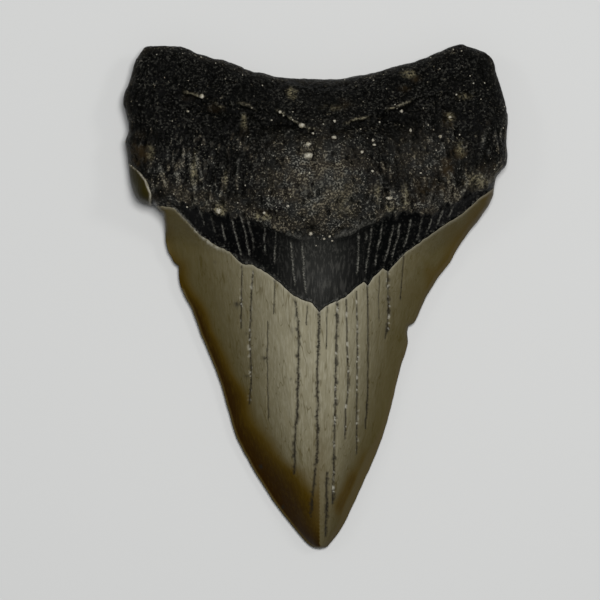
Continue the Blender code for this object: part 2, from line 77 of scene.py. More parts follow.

# %% [markdown]
# ## Drawn lines
#
# Everything on the tooth starts from lines: its outline, the enamel's edge, cracks and
# wrinkles. A few points are enough for each, because a Catmull-Rom curve runs smoothly
# through them. The outline is kept as runs that meet in corners, so a chip stays sharp.

# %% The outline seen from above
CROWN_RIGHT_LOWER = [
    (1.1, -60.5), (2.6, -60.2), (3.6, -59.2), (4.8, -57.7), (6.6, -55.0), (8.8, -50.6),
    (11.4, -44.9), (14.0, -39.1), (16.2, -33.4), (17.9, -27.6), (19.3, -21.8), (20.5, -16.8),
    (21.5, -13.9), (22.2, -11.0), (22.1, -8.4),
]
RIGHT_NOTCH = [(22.1, -8.4), (22.4, -7.0), (23.7, -6.2), (24.6, -4.6)]
CROWN_RIGHT_UPPER = [
    (24.6, -4.6), (26.5, -0.2), (28.2, 2.6), (30.1, 5.5), (32.3, 8.4), (34.0, 11.3),
    (36.8, 15.6), (39.2, 18.5), (41.2, 21.4), (42.6, 24.2), (42.8, 25.7),
]
ROOT_OUTLINE = [
    (42.8, 25.7), (43.3, 28.6), (44.3, 30.0), (45.7, 31.7), (46.0, 34.1), (45.7, 37.7),
    (46.0, 42.5), (45.5, 46.1), (44.5, 49.7), (43.3, 53.3), (42.6, 56.4), (41.2, 58.1),
    (39.5, 59.0), (36.4, 60.0), (35.2, 60.5), (33.5, 60.2), (29.9, 58.8), (23.9, 56.4),
    (19.1, 55.2), (13.1, 53.5), (5.9, 52.2), (1.1, 52.1), (-8.5, 52.6), (-12.8, 53.7),
    (-15.2, 54.0), (-20.5, 56.2), (-27.7, 58.1), (-31.8, 59.8), (-36.6, 60.1), (-40.2, 60.0),
    (-41.6, 58.8), (-42.6, 57.4), (-43.6, 55.0), (-44.3, 52.1), (-45.5, 49.2), (-46.0, 46.6),
    (-45.5, 44.4), (-44.8, 42.0), (-44.7, 39.6), (-45.5, 37.2), (-45.2, 35.3), (-44.8, 31.7),
]
SHOULDER_FRAGMENT = [
    (-44.8, 31.7), (-44.3, 27.8), (-43.8, 25.7), (-43.1, 24.0), (-41.9, 22.8), (-40.2, 22.1),
    (-39.1, 21.8),
]
SHOULDER_CHIP = [(-39.1, 21.8), (-38.5, 21.9), (-37.2, 20.5), (-36.5, 20.1)]
CROWN_LEFT_UPPER = [
    (-36.5, 20.1), (-36.1, 17.0), (-36.0, 13.5), (-35.4, 11.2), (-34.7, 9.8), (-34.0, 8.4),
    (-32.9, 7.4),
]
CROWN_LEFT_LOWER = [
    (-32.9, 7.4), (-32.8, 5.0), (-32.3, 2.6), (-31.1, -0.2), (-29.6, -3.1), (-27.5, -8.9),
    (-25.3, -14.2), (-22.9, -20.4), (-21.2, -26.2), (-19.1, -33.4), (-16.2, -39.1),
    (-12.8, -44.9), (-9.0, -50.6), (-5.6, -55.0), (-3.2, -57.8), (-1.8, -59.3), (-0.4, -60.2),
    (1.1, -60.5),
]
CURVE_PIECES = 8


def lengths(line):
    """How far along a line each of its points lies."""
    return np.concatenate([[0], np.cumsum(np.linalg.norm(np.diff(line, axis=0), axis=1))])


def at_lengths(line, wanted):
    """The points of a line at the wanted lengths along it."""
    return np.column_stack([np.interp(wanted, lengths(line), line[:, i]) for i in (0, 1)])


def even_line(points, step):
    """Points a step apart on a Catmull-Rom curve through the given ones."""
    p = np.array(points, float)
    p = np.vstack([2 * p[0] - p[1], p, 2 * p[-1] - p[-2]])
    t = np.linspace(0, 1, CURVE_PIECES + 1)[:-1, None]
    fine = []
    for a, b, c, d in zip(p[:-3], p[1:-2], p[2:-1], p[3:]):
        bend = (c - a) * t + (2 * a - 5 * b + 4 * c - d) * t**2 + (3 * b - a - 3 * c + d) * t**3
        fine.append(b + 0.5 * bend)
    fine = np.vstack(fine + [p[-2]])
    total = lengths(fine)[-1]
    return at_lengths(fine, np.linspace(0, total, max(1, round(total / step)) + 1))


# %% [markdown]
# ## Serrations and a worn outline
#
# The cutting edges carry fine saw teeth, about twelve to the centimetre, sharp on one side
# and almost worn away on the other. They are pushed out from the outline with a wave that
# follows the length along the edge. The root has no serrations, but its bone is uneven, so
# its outline is moved by smooth noise instead.

# %% Serrate the edges
CUTTING_STEP = 0.20
ROOT_EDGE_STEP = 0.34
SERRATION_PITCH = 0.85
SERRATION_DEPTH = 0.13
SERRATION_VARIES = (0.7, 0.6)
SERRATION_VARIES_OVER = 4.0
WORN_SERRATION = 0.35
EDGE_CHIP_SIZE = 2.6
EDGE_CHIP_DEPTH = 0.10
BONE_EDGE_SIZE = 1.6
BONE_EDGE_DEPTH = 0.08
SERRATION_END = 0.7
SEED_SHIFT = (7.3, 3.1, 5.7)


def noise_at(points, size, seed, stretch=(1, 1, 1)):
    """Smooth noise from -1 to 1 with lumps of a size, drawn out along each axis by stretch.

    Each seed shows another part of the same endless noise.
    """
    places = np.asarray(points, float) / (size * np.array(stretch)) + seed * np.array(SEED_SHIFT)
    return np.array([noise.noise(p) for p in places.tolist()])


def line_noise(line, size, seed):
    """Smooth noise along a flat line."""
    return noise_at(np.column_stack([line, np.zeros(len(line))]), size, seed)


def push_out(line, amount):
    """Move a line's points sideways, to the outside of a counter-clockwise outline."""
    tangent = np.gradient(line, axis=0)
    outward = np.column_stack([tangent[:, 1], -tangent[:, 0]])
    return line + outward / np.linalg.norm(outward, axis=1)[:, None] * amount[:, None]


def edge_run(points, serration):
    """One run of the outline: serrated enamel, or uneven bone where serration is None."""
    line = even_line(points, ROOT_EDGE_STEP if serration is None else CUTTING_STEP)
    along = lengths(line)
    ends = np.clip(np.minimum(along, along[-1] - along) / SERRATION_END, 0, 1)
    if serration is None:
        wave = BONE_EDGE_DEPTH * line_noise(line, BONE_EDGE_SIZE, 2)
    else:
        teeth = np.abs(np.sin(math.pi * along / SERRATION_PITCH)) - 0.5
        least, more = SERRATION_VARIES
        varied = least + more * line_noise(line, SERRATION_VARIES_OVER, 3)
        wave = SERRATION_DEPTH * serration * teeth * varied
        wave += EDGE_CHIP_DEPTH * line_noise(line, EDGE_CHIP_SIZE, 4)
    return push_out(line, wave * ends)[:-1]


EDGE_RUNS = [
    (CROWN_RIGHT_LOWER, WORN_SERRATION), (RIGHT_NOTCH, 0.0), (CROWN_RIGHT_UPPER, WORN_SERRATION),
    (ROOT_OUTLINE, None), (SHOULDER_FRAGMENT, 0.0), (SHOULDER_CHIP, 0.0),
    (CROWN_LEFT_UPPER, WORN_SERRATION), (CROWN_LEFT_LOWER, 1.0),
]
outline = np.vstack([edge_run(points, serration) for points, serration in EDGE_RUNS])
print("outline:", len(outline), "points")

# %% [markdown]
# ## The heights of the tooth
#
# The solid tooth gets its heights from a handful of stations from the tip to the root, each
# with the heights of its edges and of its ridge. The same stations are used here, so the
# skin lies where the solid is, and only the fine relief is new.
# Each helper below is a shape that geometry keeps asking for: a soft rise, a round hill,
# a quarter-round edge.

# %% Stations and helpers
LEFT_X, RIGHT_X, RIM_Z, RIDGE_Z, HOLLOW = range(1, 6)
STATIONS = np.array([
    (-60.5, -0.4, 2.6, 2.3, 4.0, 0.20), (-57.5, -3.5, 5.0, 2.3, 6.5, 0.45),
    (-53.0, -7.2, 7.7, 2.3, 9.1, 0.70), (-45.0, -12.7, 11.4, 2.3, 11.9, 0.70),
    (-34.0, -18.9, 16.0, 2.4, 14.6, 0.50), (-20.0, -23.1, 19.7, 2.6, 17.2, 0.35),
    (-5.0, -29.0, 24.6, 3.0, 19.4, 0.30), (8.0, -34.0, 31.8, 3.6, 20.8, 0.25),
    (20.0, -37.8, 40.2, 4.6, 21.6, 0.25), (30.0, -44.6, 44.6, 6.8, 22.0, 0.25),
    (42.0, -46.0, 46.0, 8.4, 22.0, 0.25), (60.5, -46.0, 46.0, 8.0, 22.0, 0.25),
])
RIDGE_X = 1.0
HILL_FALL = 1.2


def curve(x, xs, ys):
    """Smooth interpolation: cubic pieces whose slopes come from the neighbours."""
    slopes = np.gradient(ys, xs)
    i = np.clip(np.searchsorted(xs, x) - 1, 0, len(xs) - 2)
    h = xs[i + 1] - xs[i]
    t = np.clip((x - xs[i]) / h, 0, 1)
    start = (2 * t**3 - 3 * t**2 + 1) * ys[i] + (t**3 - 2 * t**2 + t) * h * slopes[i]
    end = (3 * t**2 - 2 * t**3) * ys[i + 1] + (t**3 - t**2) * h * slopes[i + 1]
    return start + end


def station(y, column):
    """One column of the stations at y."""
    return curve(y, STATIONS[:, 0], STATIONS[:, column])


def ease(value, low, high):
    """0 below low, 1 above high, and a smooth rise between them."""
    t = np.clip((value - low) / (high - low), 0, 1)
    return t * t * (3 - 2 * t)


def hill(x, y, centre, radii):
    """A round hill, 1 at its centre."""
    return np.exp(-HILL_FALL * (((x - centre[0]) / radii[0]) ** 2 + ((y - centre[1]) / radii[1]) ** 2))


def rounded(distance, radius):
    """Quarter-round edge: 0 at the outline, 1 from one radius inwards."""
    t = np.clip(distance / radius, 0, 1)
    return np.sqrt(1 - (1 - t) ** 2)


def across(x, line):
    """The y of a left-to-right line at x."""
    line = np.array(line)
    return np.interp(x, line[:, 0], line[:, 1])


def sideways(x, y):
    """Place across the crown: -1 at its left edge, 0 on the ridge, 1 at its right edge."""
    left = RIDGE_X - station(y, LEFT_X)
    right = station(y, RIGHT_X) - RIDGE_X
    return np.clip((x - RIDGE_X) / np.where(x < RIDGE_X, left, right), -1, 1)


# %% [markdown]
# ## Where one surface ends and the next begins
#
# Three lines cross the domed face: the lobed edge of the enamel, the top of the smooth neck,
# and the ledge that splits the root crosswise. The flat face has a plainer enamel edge. The
# enamel crumbled unevenly, so its edges get a little noise. They stay functions of x, which
# makes it easy to ask on which side a point lies. The old flake of enamel on the left
# shoulder is bounded in the same way by a line that is a function of y.

# %% Boundary lines
ENAMEL_EDGE = [
    (-36.4, 21.6), (-33.7, 21.3), (-27.7, 14.9), (-24.1, 12.5), (-20.5, 10.8), (-17.4, 7.7),
    (-15.0, 7.6), (-12.1, 6.0), (-8.5, 3.4), (-6.1, 1.0), (-3.7, -0.5), (-0.8, -1.4),
    (0.8, -3.6), (2.5, -2.1), (7.1, 0.0), (9.7, 2.4), (11.4, 3.6), (12.4, 2.6), (13.6, 4.6),
    (16.0, 6.7), (17.4, 6.2), (19.1, 8.2), (21.5, 10.6), (25.1, 13.2), (29.9, 16.6),
    (34.7, 19.7), (39.5, 23.8), (42.4, 25.9),
]
NECK_TOP = [
    (-36.5, 22.4), (-31.3, 22.1), (-24.1, 19.7), (-13.3, 18.0), (-9.7, 15.6), (-3.7, 14.9),
    (1.1, 13.7), (7.1, 15.6), (10.7, 17.3), (13.1, 18.5), (20.3, 19.7), (27.5, 19.7),
    (32.3, 22.1), (39.5, 25.7), (42.4, 26.7),
]
LEDGE = [
    (-39.7, 48.5), (-27.7, 47.8), (-18.1, 45.6), (-8.5, 43.7), (-3.7, 40.6), (-0.1, 39.6),
    (5.9, 41.3), (11.9, 42.5), (20.3, 44.9), (23.9, 47.3), (33.0, 49.0),
]
LABIAL_ENAMEL_EDGE = [(-44.6, 29.0), (-20.0, 26.2), (0.0, 23.6), (20.0, 25.8), (43.0, 28.2)]
FLAKE_EDGE = [(-39.2, 22.1), (-39.0, 24.5), (-40.2, 27.6), (-42.1, 30.0), (-44.5, 31.7)]
CRUMBLE = 0.22
CRUMBLE_SIZE = 0.9


def crumbled(x, line, seed):
    """The y of a left-to-right edge at x, made uneven."""
    x = np.asarray(x, float)
    places = np.column_stack([x, np.zeros_like(x)])
    return across(x, line) + CRUMBLE * line_noise(places, CRUMBLE_SIZE, seed)


def enamel_edge(x):
    """The y of the enamel's edge on the domed face."""
    return crumbled(x, ENAMEL_EDGE, 5)


def labial_edge(x):
    """The y of the enamel's edge on the flat face."""
    return crumbled(x, LABIAL_ENAMEL_EDGE, 6)


def outside_flake(x, y):
    """How far a point lies to the right of the old flake's inner edge."""
    line = np.array(FLAKE_EDGE)
    inner = np.interp(y, line[:, 1], line[:, 0])
    return np.where(y > FLAKE_EDGE[-1][1], 99.0, x - inner)


# %% [markdown]
# ## Cracks, wrinkles and lips
#
# The enamel split along its length as it dried and aged, and stone dust filled the cracks.
# On the neck, thin wrinkles run down from the root. On the root itself paler fibres of bone
# stand out, the ledge has broken lips, and the bone ends above the neck in a lip of its own.
# All of them are drawn lines with a width. The cracks and wrinkles wander a little,
# which noise along each line gives. Lists of points in the tooth's own millimetres are the
# plainest way to say where each one runs.

# %% The lines
CRACKS = [
    [(-17.6, 7.7), (-17.9, -7.9)],
    [(-15.0, 6.5), (-15.7, -7.9), (-15.5, -18.7), (-16.0, -25.9)],
    [(-9.7, 4.1), (-10.0, -4.3)],
    [(-11.4, -5.5), (-11.6, -15.1), (-11.4, -29.5)],
    [(-4.9, -0.7), (-4.2, -6.7), (-4.2, -15.1), (-4.4, -24.7), (-4.9, -31.9), (-5.2, -42.7)],
    [(-2.0, -1.9), (-2.3, -6.7)],
    [(0.8, -3.6), (0.6, -11.5), (0.4, -17.5), (0.4, -34.3), (0.1, -39.1), (-0.6, -46.3), (-1.3, -52.3)],
    [(2.8, -1.9), (2.5, -12.7)],
    [(5.2, -0.7), (4.9, -11.5), (4.7, -27.1), (4.4, -43.9), (4.2, -49.9)],
    [(7.3, -0.2), (7.6, -12.7), (7.8, -21.1), (7.3, -27.1), (7.1, -34.3)],
    [(9.7, 1.7), (10.0, -12.7), (10.0, -27.1), (10.0, -37.9)],
    [(12.4, 2.9), (12.6, -7.9), (12.6, -19.9), (12.1, -31.9)],
    [(15.2, 5.3), (15.2, -5.5)],
    [(17.2, 6.5), (17.4, -3.1), (17.2, -7.9), (16.7, -10.3)],
    [(21.0, 10.1), (20.8, 5.3), (20.3, -0.7)],
    [(2.8, -41.5), (2.8, -45.1), (2.8, -48.7), (2.5, -57.8)],
]
CRACK_WIDTHS = [
    0.26, 0.30, 0.20, 0.17, 0.42, 0.22, 0.46, 0.22, 0.40, 0.34, 0.32, 0.30, 0.17, 0.26, 0.20, 0.46,
]
WRINKLES = [
    [(-30.6, 24.2), (-29.6, 19.9)], [(-27.7, 22.1), (-26.3, 16.6)], [(-24.8, 19.7), (-23.6, 14.6)],
    [(-22.4, 18.0), (-21.2, 12.7)], [(-20.5, 21.4), (-19.1, 15.6), (-17.4, 9.4)],
    [(-18.6, 21.4), (-16.7, 15.6), (-15.5, 9.4)], [(-16.4, 20.4), (-15.2, 15.1), (-14.3, 9.8)],
    [(-12.1, 18.0), (-11.9, 9.4)], [(-9.7, 18.0), (-9.5, 7.4)], [(-5.9, 13.7), (-5.4, 8.4), (-4.9, 2.2)],
    [(-3.2, 13.0), (-2.8, 6.5), (-2.3, -0.2)], [(10.2, 15.6), (10.0, 9.8), (9.7, 5.0)],
    [(12.1, 16.6), (11.6, 12.2)], [(13.6, 18.0), (12.6, 11.3), (11.6, 4.8)],
    [(16.0, 18.0), (14.8, 12.2), (13.8, 7.0)], [(18.6, 18.0), (17.6, 13.2), (16.4, 7.9)],
    [(20.0, 18.0), (19.3, 13.7), (18.1, 8.9)], [(22.7, 19.0), (21.7, 14.6), (20.8, 11.3)],
    [(25.6, 19.9), (24.6, 16.1), (23.6, 12.7)], [(27.7, 20.4), (27.0, 17.0), (26.0, 14.6)],
    [(30.4, 21.4), (29.4, 18.5), (28.4, 16.6)], [(32.8, 22.3), (32.0, 19.9), (31.3, 18.5)],
]
BONE_STREAKS = [
    [(-30.4, 36.2), (-29.6, 32.9), (-28.9, 28.6), (-28.4, 24.2), (-27.7, 19.4)],
    [(-33.5, 32.4), (-32.8, 28.6), (-31.8, 24.2)], [(-37.8, 32.9), (-36.4, 29.0), (-34.4, 23.8)],
    [(-40.4, 35.8), (-39.7, 32.4), (-39.2, 28.6)], [(-26.8, 26.2), (-25.8, 22.3), (-24.6, 18.0)],
    [(-22.0, 30.0), (-21.2, 25.2)], [(-18.1, 38.2), (-17.6, 33.8)], [(-24.6, 35.3), (-24.4, 30.0)],
    [(-35.4, 35.3), (-34.9, 31.4)], [(20.5, 26.6), (21.2, 21.8), (20.8, 18.5)],
    [(25.8, 30.0), (25.6, 24.7)], [(28.2, 27.1), (27.0, 22.8), (26.0, 19.4)],
    [(31.3, 31.9), (32.3, 28.1), (32.3, 23.8)], [(36.4, 37.4), (34.9, 35.3), (33.5, 33.1)],
    [(37.1, 30.0), (35.4, 25.7), (32.8, 21.4)], [(40.4, 40.6), (39.7, 37.2), (39.0, 34.3)],
    [(44.8, 32.9), (43.8, 30.0), (41.4, 27.1), (38.5, 24.2)], [(18.1, 27.6), (17.9, 23.3), (18.6, 19.9)],
    [(14.0, 28.1), (14.5, 23.8), (15.5, 20.4)], [(23.2, 29.0), (22.9, 24.2)],
    [(30.1, 28.1), (29.9, 24.2), (28.9, 21.4)],
]
LEDGE_LIPS = [
    [(-31.8, 49.0), (-28.4, 48.0), (-26.3, 47.5)], [(-24.8, 46.6), (-23.4, 45.8), (-21.5, 44.6)],
    [(-18.6, 46.1), (-16.4, 45.6), (-14.3, 44.2)],
    [(-9.5, 44.4), (-7.6, 43.4), (-5.6, 42.0), (-3.7, 40.6), (-1.8, 39.8), (0.4, 39.6)],
    [(6.8, 40.8), (8.8, 41.8), (10.7, 42.2), (12.6, 42.5)],
    [(16.9, 44.4), (19.1, 45.1), (21.0, 45.8), (22.9, 46.8)],
]
ROOT_LIPS = [
    [(-15.5, 18.9), (-13.1, 18.1), (-9.8, 16.6), (-6.4, 15.1), (-2.4, 13.9)],
    [(3.5, 14.3), (8.3, 15.3), (11.4, 17.4), (13.6, 18.1), (15.8, 19.2)],
]
CRACK_STEP = 0.45
CRACK_WANDER = 0.16
CRACK_WANDER_SIZE = 2.2
WRINKLE_STEP = 0.40
WRINKLE_WANDER = 0.26
WRINKLE_WANDER_SIZE = 2.4


def wander(points, step, amount, size, seed):
    """A line with even points that strays sideways and back."""
    line = even_line(points, step)
    line[:, 0] += amount * line_noise(line, size, seed)
    return line


cracks = [
    wander(points, CRACK_STEP, CRACK_WANDER, CRACK_WANDER_SIZE, 10 + k) for k, points in enumerate(CRACKS)
]
wrinkles = [
    wander(points, WRINKLE_STEP, WRINKLE_WANDER, WRINKLE_WANDER_SIZE, 40 + k)
    for k, points in enumerate(WRINKLES)
]
print(len(cracks), "cracks and", len(wrinkles), "wrinkles")

# %% [markdown]
# ## Points for the mesh
#
# A height map on an even grid would blur the cracks. Instead the tooth is planned from
# above as scattered points with some exact lines, and a constrained Delaunay triangulation
# joins them: the lines become edges of the mesh. Points are close together on the root,
# where the relief is fine, and in tall columns on the crown, where it runs lengthwise.
# The root's rounded rim is steep, so its rings of points get closer towards the outline.

# %% Plan helpers
ROOT_POINT_STEP = 0.315
CROWN_POINT_STEPS = (0.36, 0.46)
LABIAL_POINT_STEP = 0.66
ROW_SHARE = math.sqrt(0.75)
HALF_WIDTH = 47.0
RING_EXTRA = 2.0
ONLY_INSIDE = 1
SAME_POINT = 1e-4
RING_ARC_STEP = 0.36
ROOT_RIM = 8.5
LABIAL_RIM = 6.0
CROWN_RIM = 0.9
ENAMEL_STEP_WIDTH = 0.22
WALL_CLEARANCE = 0.16


def inside(points):
    """Which points lie inside the outline, by counting crossings."""
    x, y = points[:, 0], points[:, 1]
    odd = np.zeros(len(points), bool)
    for (ax, ay), (bx, by) in zip(outline, np.roll(outline, -1, axis=0)):
        if ay != by:
            odd ^= ((ay > y) != (by > y)) & (x < (bx - ax) * (y - ay) / (by - ay) + ax)
    return odd


def tree_of(points):
    """A search tree of flat points."""
    tree = kdtree.KDTree(len(points))
    for i, (x, y) in enumerate(points):
        tree.insert((x, y, 0), i)
    tree.balance()
    return tree


def fine_outline():
    """The outline with extra points between its own, to measure distances from."""
    ends = np.roll(outline, -1, axis=0)
    return np.vstack([outline + (ends - outline) * t for t in (0, 0.25, 0.5, 0.75)])


outline_tree = tree_of(fine_outline())


def to_outline(points):
    """Distance from each point to the outline."""
    return np.array([outline_tree.find((x, y, 0))[2] for x, y in points])


def grid(step_x, step_y, low_y, high_y):
    """Points in staggered rows over the tooth's width."""
    rows = np.arange(low_y, high_y, step_y)
    columns = np.arange(-HALF_WIDTH, HALF_WIDTH, step_x)
    return np.vstack([
        np.column_stack([columns + (k % 2) * step_x / 2, np.full(len(columns), y)])
        for k, y in enumerate(rows)
    ])


def ring(distance, step, low_y):
    """Points one distance inside the outline, a step apart, above low_y."""
    line = outline[outline[:, 1] > low_y - RING_EXTRA]
    line = push_out(line, np.full(len(line), -distance))
    line = at_lengths(line, np.arange(0, lengths(line)[-1], step))
    return line[line[:, 1] > low_y]


class Plan:
    """One face of the tooth seen from above: its points, and the lines the mesh follows."""

    def __init__(self):
        count = len(outline)
        self.points = [tuple(p) for p in outline]
        self.edges = [(i, (i + 1) % count) for i in range(count)]

    def add_line(self, line):
        """Points joined by edges that the mesh has to keep."""
        first = len(self.points)
        self.points += [tuple(p) for p in line]
        self.edges += [(i, i + 1) for i in range(first, len(self.points) - 1)]

    def add_loose(self, candidates, clearance):
        """Scattered points, left out where others are already close."""
        taken = tree_of(self.points)
        clear = [p for p in candidates if taken.find((p[0], p[1], 0))[2] > clearance]
        self.points += [tuple(p) for p in clear]

    def triangles(self):
        """Flat points, triangles, and for each point the outline point it is, or -1."""
        loop = list(range(len(outline)))
        flat = [Vector(p) for p in self.points]
        found = delaunay_2d_cdt(flat, self.edges, [loop], ONLY_INSIDE, SAME_POINT)
        rim = [min(origin) if origin and min(origin) < len(outline) else -1 for origin in found[3]]
        return np.array([tuple(v) for v in found[0]]), np.array(found[2]), np.array(rim)


# %% [markdown]
# The face with the domed crown holds nearly all the points. Every crack gets three lines,
# for its two lips and its bottom, and the enamel's edge gets two, for its lip and the foot
# of its step down to the neck.

# %% Plan the two faces
TIP_Y, TOP_Y = -60.3, 61.0
ROOT_LOW_Y = -4.5
CROWN_HIGH_Y = 27.0
ENAMEL_SIDE_MARGIN = 0.4
LIP_STEP = 0.22
LIP_MARGIN = 0.15
FACE_MARGIN = 0.5
LABIAL_MARGIN = 0.35
CRACK_GAP = 0.3
FLAKE_STEP = 0.3
RING_LOW_Y = 22.5
RING_KEEP = 0.93
FIRST_RING = 0.12
CROWN_RINGS = (0.16, 0.38, 0.7)
CROWN_RING_STEP = 0.34
CROWN_RING_KEEP = 0.9
CROWN_RING_CLEARANCE = 0.13
ROOT_CLEARANCE = 0.19
CROWN_CLEARANCE = 0.2
LABIAL_LIP_STEP = 0.4
LABIAL_ARC_STEP = 0.55
LABIAL_RING_CLEARANCE = 0.3
LABIAL_CLEARANCE = 0.4


def clear_inside(points, margin):
    """The points that lie inside the outline and clear of it."""
    points = points[inside(points)]
    return points[to_outline(points) > margin]


def rim_rings(radius, step):
    """Rings inside the root's outline, evenly spaced along the rounded rim."""
    angles = np.arange(step / radius, math.pi / 2, step / radius)
    distances = [radius * (1 - math.cos(angle)) for angle in angles]
    rings = [clear_inside(ring(d, step, RING_LOW_Y), RING_KEEP * d) for d in distances if d > FIRST_RING]
    return np.vstack(rings)


def lingual_plan():
    """The domed face: lines for the enamel's lip and step, the flake, cracks and wrinkles."""
    plan = Plan()
    xs = np.arange(ENAMEL_EDGE[0][0], ENAMEL_EDGE[-1][0] + 0.1, LIP_STEP)
    lip = clear_inside(np.column_stack([xs, enamel_edge(xs)]), LIP_MARGIN)
    plan.add_line(lip)
    plan.add_line(lip[2:-2] + (0.0, ENAMEL_STEP_WIDTH))
    flake = even_line(FLAKE_EDGE, FLAKE_STEP)[1:-1]
    plan.add_line(flake[inside(flake)])
    for line, width in zip(cracks, CRACK_WIDTHS):
        below = line[line[:, 1] < enamel_edge(line[:, 0]) - CRACK_GAP]
        plan.add_line(below)
        for side in (-width, width):
            plan.add_line(below[1:-1] + (side, 0.0))
    for line in wrinkles:
        plan.add_line(line[line[:, 1] > enamel_edge(line[:, 0]) + 2 * ENAMEL_STEP_WIDTH])
    for distance in CROWN_RINGS:
        line = clear_inside(ring(distance, CROWN_RING_STEP, TIP_Y + 0.1), CROWN_RING_KEEP * distance)
        plan.add_loose(line[line[:, 1] < RING_LOW_Y + 1], CROWN_RING_CLEARANCE)
    plan.add_loose(rim_rings(ROOT_RIM, RING_ARC_STEP), WALL_CLEARANCE)
    root = grid(ROOT_POINT_STEP, ROOT_POINT_STEP * ROW_SHARE, ROOT_LOW_Y, TOP_Y)
    root = root[root[:, 1] > across(root[:, 0], ENAMEL_EDGE) - ENAMEL_SIDE_MARGIN]
    plan.add_loose(clear_inside(root, FACE_MARGIN), ROOT_CLEARANCE)
    crown = grid(*CROWN_POINT_STEPS, TIP_Y, CROWN_HIGH_Y)
    crown = crown[crown[:, 1] <= across(crown[:, 0], ENAMEL_EDGE) - ENAMEL_SIDE_MARGIN]
    plan.add_loose(clear_inside(crown, FACE_MARGIN), CROWN_CLEARANCE)
    return plan


def labial_plan():
    """The flat face: a line for the enamel's edge, and wider spaced points."""
    plan = Plan()
    xs = np.arange(LABIAL_ENAMEL_EDGE[0][0] + 0.5, LABIAL_ENAMEL_EDGE[-1][0], LABIAL_LIP_STEP)
    plan.add_line(clear_inside(np.column_stack([xs, labial_edge(xs)]), FACE_MARGIN))
    plan.add_loose(rim_rings(LABIAL_RIM, LABIAL_ARC_STEP), LABIAL_RING_CLEARANCE)
    points = grid(LABIAL_POINT_STEP, LABIAL_POINT_STEP * ROW_SHARE, -60, TOP_Y)
    plan.add_loose(clear_inside(points, LABIAL_MARGIN), LABIAL_CLEARANCE)
    return plan


top_flat, top_faces, top_rim = lingual_plan().triangles()
low_flat, low_faces, low_rim = labial_plan().triangles()
print("upper face:", len(top_faces), "triangles, lower face:", len(low_faces))

# %% [markdown]
# ## Lift the plans
#
# The same sums as in the solid give each point its height. The upper face is a dome on the
# crown, which grows into the thick root with its boss. The lower face is the flat one that
# the tooth lies on, hollow under the tip and under the middle of the root.

# %% Heights of the two faces
LOBE_HEIGHT = 15.2
LOBE_TAPER = 0.11
BOSS_CENTRE = (0.5, 27.5)
BOSS_RADII = (27.5, 22.0)
BOSS_RISE = 11.3
DOME_TO_ROOT = (-10.0, 4.0)
SMOOTH_TO_ROUGH = (-0.5, 1.5)
SHOULDERS = (21.0, 32.0)
NECK_DROP = 0.45
NECK_LEVELS_AT = 0.55
LEDGE_RISE = 0.9
LEDGE_CREST = (1.0, 1.6)
LEDGE_FOOT = (-1.8, 1.4)
LEDGE_FOOT_SHARE = 0.6
LEDGE_FADES = (30, 40)
LUMP_RISE = 0.5
LUMP_SIZE = 5.0
FLAKE_CENTRE = (-42.0, 26.2)
FLAKE_RADII = (2.6, 5.0)
FLAKE_RISE = 1.2
PITS = [
    (-0.8, 33.5, 1.0, 4.2, 1.6), (16.9, 23.5, 1.4, 1.7, 1.1), (-22.9, 21.4, 1.3, 1.8, 1.0),
    (-42.2, 40.5, 2.6, 1.6, 1.4), (34.2, 27.6, 0.9, 2.2, 1.0), (-9.0, 40.8, 5.0, 2.0, 1.2),
    (20.3, 41.8, 4.6, 1.9, 1.2), (-30.0, 38.5, 3.0, 1.6, 0.6), (29.0, 33.0, 2.4, 1.6, 0.6),
]
LOBE_CENTRES = [(-31.0, 44.0), (31.0, 44.0)]
LOBE_RADII = (12.0, 11.0)
ROOT_LIFT = 0.7
LABIAL_LUMP_RISE = 0.25
LABIAL_HOLLOW = (0.0, 50.0), (15.0, 17.0)
LABIAL_HOLLOW_DEPTH = 2.2
LABIAL_EDGE_POWER = 2.4
LABIAL_FLAT_DEPTH = 0.25
LABIAL_FLAT_Y = -5.0
LABIAL_BEND = 0.00048
LABIAL_BLEND = (-1.5, 1.5)


def flat_noise(x, y, size, level=0.0):
    """Smooth noise over the plan; each level has lumps of its own."""
    return noise_at(np.column_stack([x, y, np.full(len(x), level)]), size, 0)


def rim_radius(y, root_radius):
    """Radius of the rounded rim: small on the crown, and growing at the shoulders."""
    return CROWN_RIM + (root_radius - CROWN_RIM) * ease(y, *SHOULDERS)


def mound(value, middle, width):
    """A soft mound over a line of values, 1 at its middle."""
    return np.exp(-(((value - middle) / width) ** 2))


def root_forms(x, y):
    """The ledge, pits, lumps and the old flake."""
    above = y - across(x, LEDGE)
    ledge = mound(above, *LEDGE_CREST) - LEDGE_FOOT_SHARE * mound(above, *LEDGE_FOOT)
    forms = LEDGE_RISE * ledge * (1 - ease(np.abs(x), *LEDGE_FADES))
    for px, py, rx, ry, depth in PITS:
        forms -= depth * hill(x, y, (px, py), (rx, ry))
    forms += FLAKE_RISE * hill(x, y, FLAKE_CENTRE, FLAKE_RADII)
    return forms + LUMP_RISE * flat_noise(x, y, LUMP_SIZE)


def upper_height(x, y, distance):
    """Height of the domed face."""
    rim = station(y, RIM_Z)
    above_neck = y - across(x, NECK_TOP)
    on_root = ease(above_neck, *DOME_TO_ROOT)
    s2 = sideways(x, y) ** 2
    dome = (station(y, RIDGE_Z) - rim) * (1 - s2) * (1 - station(y, HOLLOW) * s2)
    root = LOBE_HEIGHT - LOBE_TAPER * (y - BOSS_CENTRE[1]) - rim
    root += BOSS_RISE * hill(x, y, BOSS_CENTRE, BOSS_RADII)
    body = dome * (1 - on_root) + root * on_root
    body += root_forms(x, y) * ease(above_neck, *SMOOTH_TO_ROUGH)
    above = y - enamel_edge(x)
    band = np.maximum(across(x, NECK_TOP) - across(x, ENAMEL_EDGE), ENAMEL_STEP_WIDTH)
    drop = NECK_DROP * ease(above, 0, ENAMEL_STEP_WIDTH) * (1 - ease(above / band, NECK_LEVELS_AT, 1))
    return rim + body * rounded(distance, rim_radius(y, ROOT_RIM)) - drop


